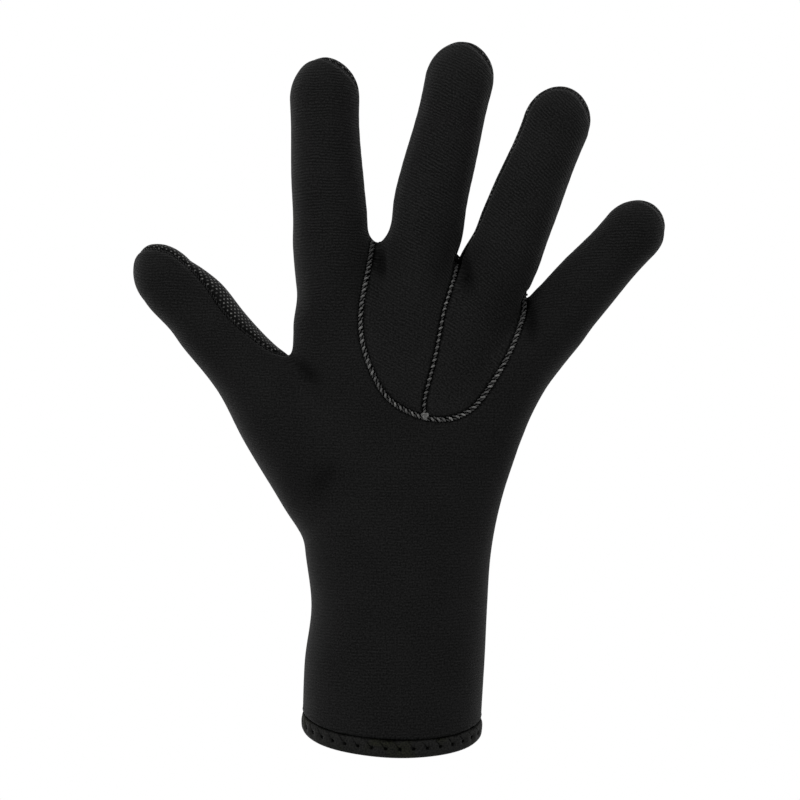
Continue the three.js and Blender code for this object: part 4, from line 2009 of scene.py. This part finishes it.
@dataclass(frozen=True)
class JerseyNeoprene(Finish):
    """Foam rubber sheet faced with knitted nylon: matt black, faintly ribbed, with its rib crests painted lighter
    and specks of light fibre.

    The real ribs are about 0.6 mm apart and the wales 0.35 mm. That is too fine to show, so both are drawn
    about twice as coarse.
    """

    light_tone: str
    rib_turn: float = 0.0
    patch: str = ""
    ribbed: float = 1.0
    rib_pitch: float = 1.15
    wale_pitch: float = 0.66
    wale_bend: float = 0.25
    relief: float = 0.2
    sheen: float = 0.05
    rib_light: float = 1.36
    ground_light: float = 0.153
    ribs_fade: tuple[float, float, float] = (130.0, 190.0, 0.45)
    seam_shadow: tuple[float, float, float] = (0.5, 1.9, 0.1)
    fold_light: float = 0.42
    wander: Lumps = Lumps(9.0, 2, 0, 1, -1.1, 1.1)
    waver: Lumps = Lumps(1.7, 2, 0, 1, -0.35, 0.35)
    rib_patches: Lumps = Lumps(4.5, 2, 0.36, 0.6, 0.35, 1)
    grain: Lumps = Lumps(0.62, 2, 0.34, 0.66, 0, 1)
    fuzz: Lumps = Lumps(0.3, 3, 0.3, 0.7, 0, 1)
    blotches: Lumps = Lumps(22.0, 3, 0.35, 0.7, -0.05, 0.1)
    raggedness: Lumps = Lumps(0.9, 2, 0.3, 0.7, -0.5, 0.5)
    stains: Lumps = Lumps(12.0, 2, 0.5, 0.6, 0, 1)

    def dressed(self, add: AddNode) -> dict:
        """Knits the ribs and wales over the cloth, paints the rib crests lighter, and paints shade along the
        seams and in the folds.

        Args:
            add: adds a node to the material's tree.

        Returns:
            The shader's inputs.
        """
        place = add("Attribute", output="Vector", attribute_name="cloth")
        edge, shade = (add("Attribute", output="Fac", attribute_name=name) for name in ("edge", "shade"))
        turn = -math.radians(self.rib_turn)
        turned = add("VectorRotate", {"Vector": place, "Angle": turn}, rotation_type="Z_AXIS")
        across, along = (add("SeparateXYZ", (turned,), axis) for axis in "XY")
        along = add("Math", (along, self.wander.drawn(add, place)), operation="ADD")
        along = add("Math", (along, self.waver.drawn(add, place)), operation="ADD")
        wale = add("Math", (across, math.pi / self.wale_pitch), operation="MULTIPLY")
        wale = add("Math", (add("Math", (wale,), operation="SINE"),), operation="ABSOLUTE")
        bent = add("Math", (wale, self.wale_bend * self.rib_pitch, along), operation="MULTIPLY_ADD")
        rib = add("Math", (bent, TWO_PI / self.rib_pitch), operation="MULTIPLY")
        rib = add("Math", (rib,), operation="SINE")
        low, high, least = self.ribs_fade
        up = add("SeparateXYZ", (place,), "Y")
        shown = add("MapRange", (up, low, high, least * self.ribbed, self.ribbed))
        shown = add("Math", (shown, self.rib_patches.drawn(add, place)), operation="MULTIPLY")
        rib = add("Math", (rib, shown), operation="MULTIPLY")
        rib = add("MapRange", (rib, -1, 1, 0, 1))

        grain, fuzz = self.grain.drawn(add, place), self.fuzz.drawn(add, place)
        loops = add("Math", (wale, rib), operation="MULTIPLY")
        height = add("Math", (add("Math", (fuzz, grain), operation="ADD"), 0.35), operation="MULTIPLY")
        height = add("Math", (rib, 0.6, height), operation="MULTIPLY_ADD")
        height = add("Math", (loops, 0.4, height), operation="MULTIPLY_ADD")
        bump = add("Bump", {"Strength": 0.9, "Distance": self.relief * MM, "Height": height})

        # The rib crests are painted lighter, towards the light tone
        tone = add("Math", (rib, self.rib_light, self.ground_light), operation="MULTIPLY_ADD")
        tone = add("Math", (tone, grain), operation="MULTIPLY")
        tone = add("Math", (tone, add("MapRange", (fuzz, 0.7, 1, 0, 0.4))), operation="ADD")
        tone = add("Math", (tone, self.blotches.drawn(add, place)), operation="ADD", use_clamp=True)
        ragged = add("Math", (edge, self.raggedness.drawn(add, place)), operation="ADD")
        low, high, least = self.seam_shadow
        lit = add("MapRange", (ragged, low, high, least, 1))
        lit = add("Math", (lit, add("MapRange", (shade, 0, 1, 1, self.fold_light))), operation="MULTIPLY")
        ends = {6: linear(self.light_tone), 7: linear(self.patch or self.light_tone)}
        light_tone = add("Mix", {0: self.stains.drawn(add, place), **ends}, 2, data_type="RGBA")
        cloth = add("Mix", {0: tone, 6: linear(self.colour), 7: light_tone}, 2, data_type="RGBA")
        return {
            "Base Color": add("Mix", {0: lit, 6: BLACK, 7: cloth}, 2, data_type="RGBA"),
            "Roughness": add("MapRange", (rib, 0, 1, 0.95, 0.85)),
            "Specular IOR Level": add("Math", (lit, 0.05), operation="MULTIPLY"),
            "Sheen Weight": add("Math", (lit, self.sheen), operation="MULTIPLY"),
            "Sheen Roughness": 0.35,
            "Normal": bump,
        }


@dataclass(frozen=True)
class PrintedGrip(Finish):
    """Neoprene palm with raised silicone dots screen-printed on it, greyer and shinier than the black cloth.

    The real dots are about 1.4 mm apart, which is drawn a little coarser so that they show.
    """

    dot_colour: str
    dot_pitch: float = 1.85
    dot_radius: float = 0.46
    relief: float = 0.3
    seam_shadow: tuple[float, float, float] = (0.5, 1.9, 0.12)
    print_wander: Lumps = Lumps(5.0, 2, 0, 1, -0.6, 0.6)
    fuzz: Lumps = Lumps(0.35, 3, 0.3, 0.7, 0, 1)
    thin_print: Lumps = Lumps(1.3, 2, 0.4, 0.62, 0.1, 1)

    def dressed(self, add: AddNode) -> dict:
        """Prints two grids of dots, one half a step from the other, so that the rows are set alternately.

        Args:
            add: adds a node to the material's tree.

        Returns:
            The shader's inputs.
        """
        place = add("Attribute", output="Vector", attribute_name="cloth")
        edge, shade = (add("Attribute", output="Fac", attribute_name=name) for name in ("edge", "shade"))
        printed_at = add("VectorMath", (place, self.print_wander.drawn(add, place)), operation="ADD")
        pitch, row = self.dot_pitch, self.dot_pitch * math.sqrt(3)
        gaps = []
        for shift in (0.0, 0.5):
            scaled = (printed_at, (1 / pitch, 1 / row, 0), (shift, shift, 0.5))
            cell = add("VectorMath", scaled, operation="MULTIPLY_ADD")
            cell = add("VectorMath", (cell,), operation="FRACTION")
            cell = add("VectorMath", (cell, (0.5, 0.5, 0.5)), operation="SUBTRACT")
            cell = add("VectorMath", (cell, (pitch, row, 0)), operation="MULTIPLY")
            gaps.append(add("VectorMath", (cell,), "Value", operation="LENGTH"))
        gap = add("Math", tuple(gaps), operation="MINIMUM")
        dot = add("MapRange", (gap, self.dot_radius, self.dot_radius / 2, 0, 1))
        dot = add("Math", (dot, add("MapRange", (shade, 0.2, 0.8, 1, 0))), operation="MULTIPLY")
        height = add("Math", (self.fuzz.drawn(add, place), 0.3, dot), operation="MULTIPLY_ADD")
        bump = add("Bump", {"Strength": 0.9, "Distance": self.relief * MM, "Height": height})
        low, high, least = self.seam_shadow
        lit = add("MapRange", (edge, low, high, least, 1))
        inked = add("Math", (dot, self.thin_print.drawn(add, place)), operation="MULTIPLY")
        ends = {6: linear(self.colour), 7: linear(self.dot_colour)}
        printed = add("Mix", {0: inked, **ends}, 2, data_type="RGBA")
        return {
            "Base Color": add("Mix", {0: lit, 6: BLACK, 7: printed}, 2, data_type="RGBA"),
            "Roughness": add("MapRange", (dot, 0, 1, 0.9, 0.5)),
            "Specular IOR Level": add("MapRange", (dot, 0, 1, 0.05, 0.25)),
            "Sheen Weight": add("MapRange", (dot, 0, 1, 0.04, 0)),
            "Sheen Roughness": 0.35,
            "Normal": bump,
        }


@dataclass(frozen=True)
class SpunThread(Finish):
    """Three-ply spun polyester sewing thread: the twist is painted as slanting light and dark, painted light on
    each ply and painted shade between them.
    """

    dark: str
    shine: float = 0.3
    plies: int = 3
    twist: float = 1.1
    fibre_size: float = 0.3
    relief: float = 0.12

    def dressed(self, add: AddNode) -> dict:
        """Twists the plies round the thread, paints light on each ply and shade between them, and roughens them
        with fibre.

        Args:
            add: adds a node to the material's tree.

        Returns:
            The shader's inputs.
        """
        thread = add("Attribute", output="Vector", attribute_name="thread")
        along, around, bright = (add("SeparateXYZ", (thread,), axis) for axis in "XYZ")
        phase = add("Math", (along, 1 / self.twist, around), operation="MULTIPLY_ADD")
        ply = add("Math", (phase, self.plies * math.pi), operation="MULTIPLY")
        ply = add("Math", (add("Math", (ply,), operation="SINE"),), operation="ABSOLUTE")
        place = add("VectorMath", (thread, (1, 3, 50)), operation="MULTIPLY")
        fibre = add("TexNoise", {"Vector": place, "Scale": 1 / self.fibre_size, "Detail": 3})
        height = add("Math", (fibre, 0.5, ply), operation="MULTIPLY_ADD")
        bump = add("Bump", {"Strength": 0.8, "Distance": self.relief * MM, "Height": height})
        # Painted light and shade: each ply is painted lighter and the groove between plies darker
        lit = add("Math", (ply, 0.7, 0.3), operation="MULTIPLY_ADD")
        lit = add("Math", (lit, add("MapRange", (fibre, 0.35, 0.6, 0.2, 1))), operation="MULTIPLY")
        lit = add("Math", (lit, bright), operation="MULTIPLY")
        ends = {6: linear(self.dark), 7: linear(self.colour)}
        return {
            "Base Color": add("Mix", {0: lit, **ends}, 2, data_type="RGBA"),
            "Roughness": 0.6,
            "Specular IOR Level": self.shine,
            "Sheen Weight": self.shine / 3,
            "Normal": bump,
        }


# The stretch fabric of the back, knitted level: dull black with faint level ribs and a little grey fuzz
MAIN_KNIT = JerseyNeoprene("nylon_jersey_faced_neoprene_knitted_level", "040404", "161616")
# The same fabric cut aslant for the two finger backs, so that the ribs catch the light at another angle
MIDDLE_KNIT = JerseyNeoprene("nylon_jersey_faced_neoprene_cut_at_28_degrees", "040404", "181818", -28.0)
RING_KNIT = JerseyNeoprene("nylon_jersey_faced_neoprene_cut_at_43_degrees", "040404", "181818", -43.0)
# The band is the same fabric stretched over a fold: paler, smoother and stained green in places
HEM_KNIT = JerseyNeoprene(
    "nylon_jersey_faced_neoprene_folded_hem", "080808", "1b1b1a", patch="1d1e16", ribbed=0.15, relief=0.14
)
# The inner face is the same knit in shadow, a flat dark grey
LINING_KNIT = JerseyNeoprene("nylon_jersey_lining_inner_face", "060606", "161616")
# The palm's grey silicone dots glint on matt black
GRIP = PrintedGrip("neoprene_with_screen_printed_silicone_dots", "060606", "5e5e5c")
# Thread is matt with a soft glint on each turn, partly from its gloss and partly painted light on each ply: grey
# for the decorative seams, near black for the others
GREY_THREAD = SpunThread("spun_polyester_thread_grey", "70706e", "141414")
DARK_THREAD = SpunThread("spun_polyester_thread_charcoal", "2a2a29", "070707")
BLACK_THREAD = SpunThread("spun_polyester_thread_black", "0e0e0e", "030303", shine=0.1)


@dataclass(frozen=True)
class SoftLight:
    """A rectangular lamp that faces the middle of the glove."""

    name: str
    place: tuple[float, float, float]
    size: float
    power: float
    target: tuple[float, float, float] = (0.0, 0.0, 0.13)

    def build(self) -> None:
        """Adds the lamp."""
        lamp = bpy.data.lights.new(self.name, "AREA")
        lamp.size = self.size
        lamp.energy = self.power
        made = bpy.data.objects.new(self.name, lamp)
        made.location = self.place
        aim = Vector(self.target) - Vector(self.place)
        made.rotation_euler = aim.to_track_quat("-Z", "Y").to_euler()
        bpy.context.scene.collection.objects.link(made)


LIGHTS = (
    SoftLight("key_light", (-0.55, -0.65, 0.95), 0.45, 11.0),
    SoftLight("fill_light", (0.8, -0.7, 0.2), 0.7, 2.0),
    SoftLight("left_rim", (-0.75, 0.5, 0.3), 0.5, 4.6),
    SoftLight("right_rim", (0.75, 0.55, 0.4), 0.5, 4.0),
)


@dataclass(frozen=True)
class Studio:
    """The white surroundings and the camera of a catalogue photograph."""

    place: tuple[float, float, float] = (0.00266, -0.75, 0.1283)
    aim: tuple[float, float, float] = (math.pi / 2, 0.0, 0.0)
    lens: float = 88.8
    sensor: float = 36.0

    def build(self) -> None:
        """Lights the scene and aims the camera."""
        scene = bpy.context.scene
        scene.view_settings.view_transform = "Standard"
        world = bpy.data.worlds.new("white_surroundings")
        world.use_nodes = True
        world.node_tree.nodes.clear()
        glow = add_node(world.node_tree, "Background", {"Color": (1, 1, 1, 1), "Strength": 1.0})
        add_node(world.node_tree, "OutputWorld", {"Surface": glow})
        scene.world = world
        for light in LIGHTS:
            light.build()
        camera = bpy.data.cameras.new("photo_camera")
        camera.lens = self.lens
        camera.sensor_width = self.sensor
        made = bpy.data.objects.new("photo_camera", camera)
        made.location = self.place
        made.rotation_euler = self.aim
        scene.collection.objects.link(made)
        scene.camera = made


# Flatlock threads of the two decorative seams: light ones on top, darker ones between and under them
BEADS = StitchRow(pitch=2.45, reach=0.48, slant=-1.0, thickness=0.4, rise=0.16, sink=0.55)
BETWEEN_BEADS = StitchRow(pitch=2.45, reach=0.4, slant=-1.2, thickness=0.22, rise=-0.2, sink=0.5, phase=0.5)
ROPE = StitchRow(pitch=2.45, reach=0.6, slant=-1.1, thickness=0.41, rise=0.16, sink=0.5, offset=0.12)
UNDER_ROPE = tuple(
    StitchRow(2.45, reach=0.36, slant=-1.3, thickness=0.24, rise=-0.16, sink=0.45, phase=0.5, offset=offset)
    for offset in (-0.5, 0.5)
)
SIDE_COVER = (
    StitchRow(pitch=2.4, reach=0.5, slant=-1.4, thickness=0.24, rise=-0.34, sink=0.6),
    StitchRow(pitch=2.4, reach=0.5, slant=-1.4, thickness=0.22, rise=-0.4, sink=0.6, phase=0.5),
)
CROTCH_GAP = 2.0


@dataclass(frozen=True)
class GloveSewing:
    """All the thread of the glove."""

    shell: Shell
    hem: HemBand

    def knot(self) -> tuple[np.ndarray, np.ndarray]:
        """The knot at the inset's foot, as its centre and outward direction."""
        path = self.shell.parting_seams[0]
        low = int(np.argmin(path.points[:, 2]))
        return path.points[low] + path.normals[low] * 0.3, path.normals[low]

    def build(self) -> None:
        """Sews every seam."""
        shell, inset = self.shell, self.shell.inset
        partings = []
        for path in shell.parting_seams:
            crotch_first = path.points[0, 2] > path.points[-1, 2]
            partings.append(path.part(CROTCH_GAP * crotch_first, CROTCH_GAP * (not crotch_first)))
        yokes = [path.part(CROTCH_GAP, CROTCH_GAP) for path in shell.yoke_seams]
        tick = StitchRow(self.hem.tick_pitch, reach=0.2, slant=1.1, thickness=0.18, rise=-0.62, sink=0.8)

        threads = Sewing("parting_seam_thread", (BEADS,), seed=1, shown=inset.parting_thread_light)
        threads.build(partings, GREY_THREAD, (self.knot(),))
        threads = Sewing("parting_seam_dark_thread", (BETWEEN_BEADS,), seed=5, shown=inset.parting_thread_light)
        threads.build(partings, DARK_THREAD)
        threads = Sewing("yoke_seam_thread", (ROPE,), seed=2, shown=inset.thread_painted_light)
        threads.build(yokes, GREY_THREAD)
        threads = Sewing("yoke_seam_dark_thread", UNDER_ROPE, seed=6, shown=inset.thread_painted_light)
        threads.build(yokes, DARK_THREAD)
        Sewing("side_seam_thread", SIDE_COVER, seed=3).build(shell.side_seams, BLACK_THREAD)
        Sewing("hem_blind_stitches", (tick,), seed=4).build([self.hem.seat], BLACK_THREAD)


def main() -> None:
    """Builds the glove, its surroundings and the camera."""
    logging.basicConfig(level=logging.INFO, format="%(message)s")
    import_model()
    form = GloveForm()
    shell = Shell(form, KnuckleInset())
    shell.build(Node.BACK, Slot.KNIT, MAIN_KNIT)
    shell.build(Node.MIDDLE, Slot.KNIT, MIDDLE_KNIT)
    shell.build(Node.RING, Slot.KNIT, RING_KNIT)
    shell.build(Node.PALM, Slot.GRIP, GRIP)
    hem = HemBand(form.hand)
    hem.build(HEM_KNIT)
    Lining(form).build(LINING_KNIT)
    GloveSewing(shell, hem).build()
    Studio().build()


if __name__ == "__main__":
    main()
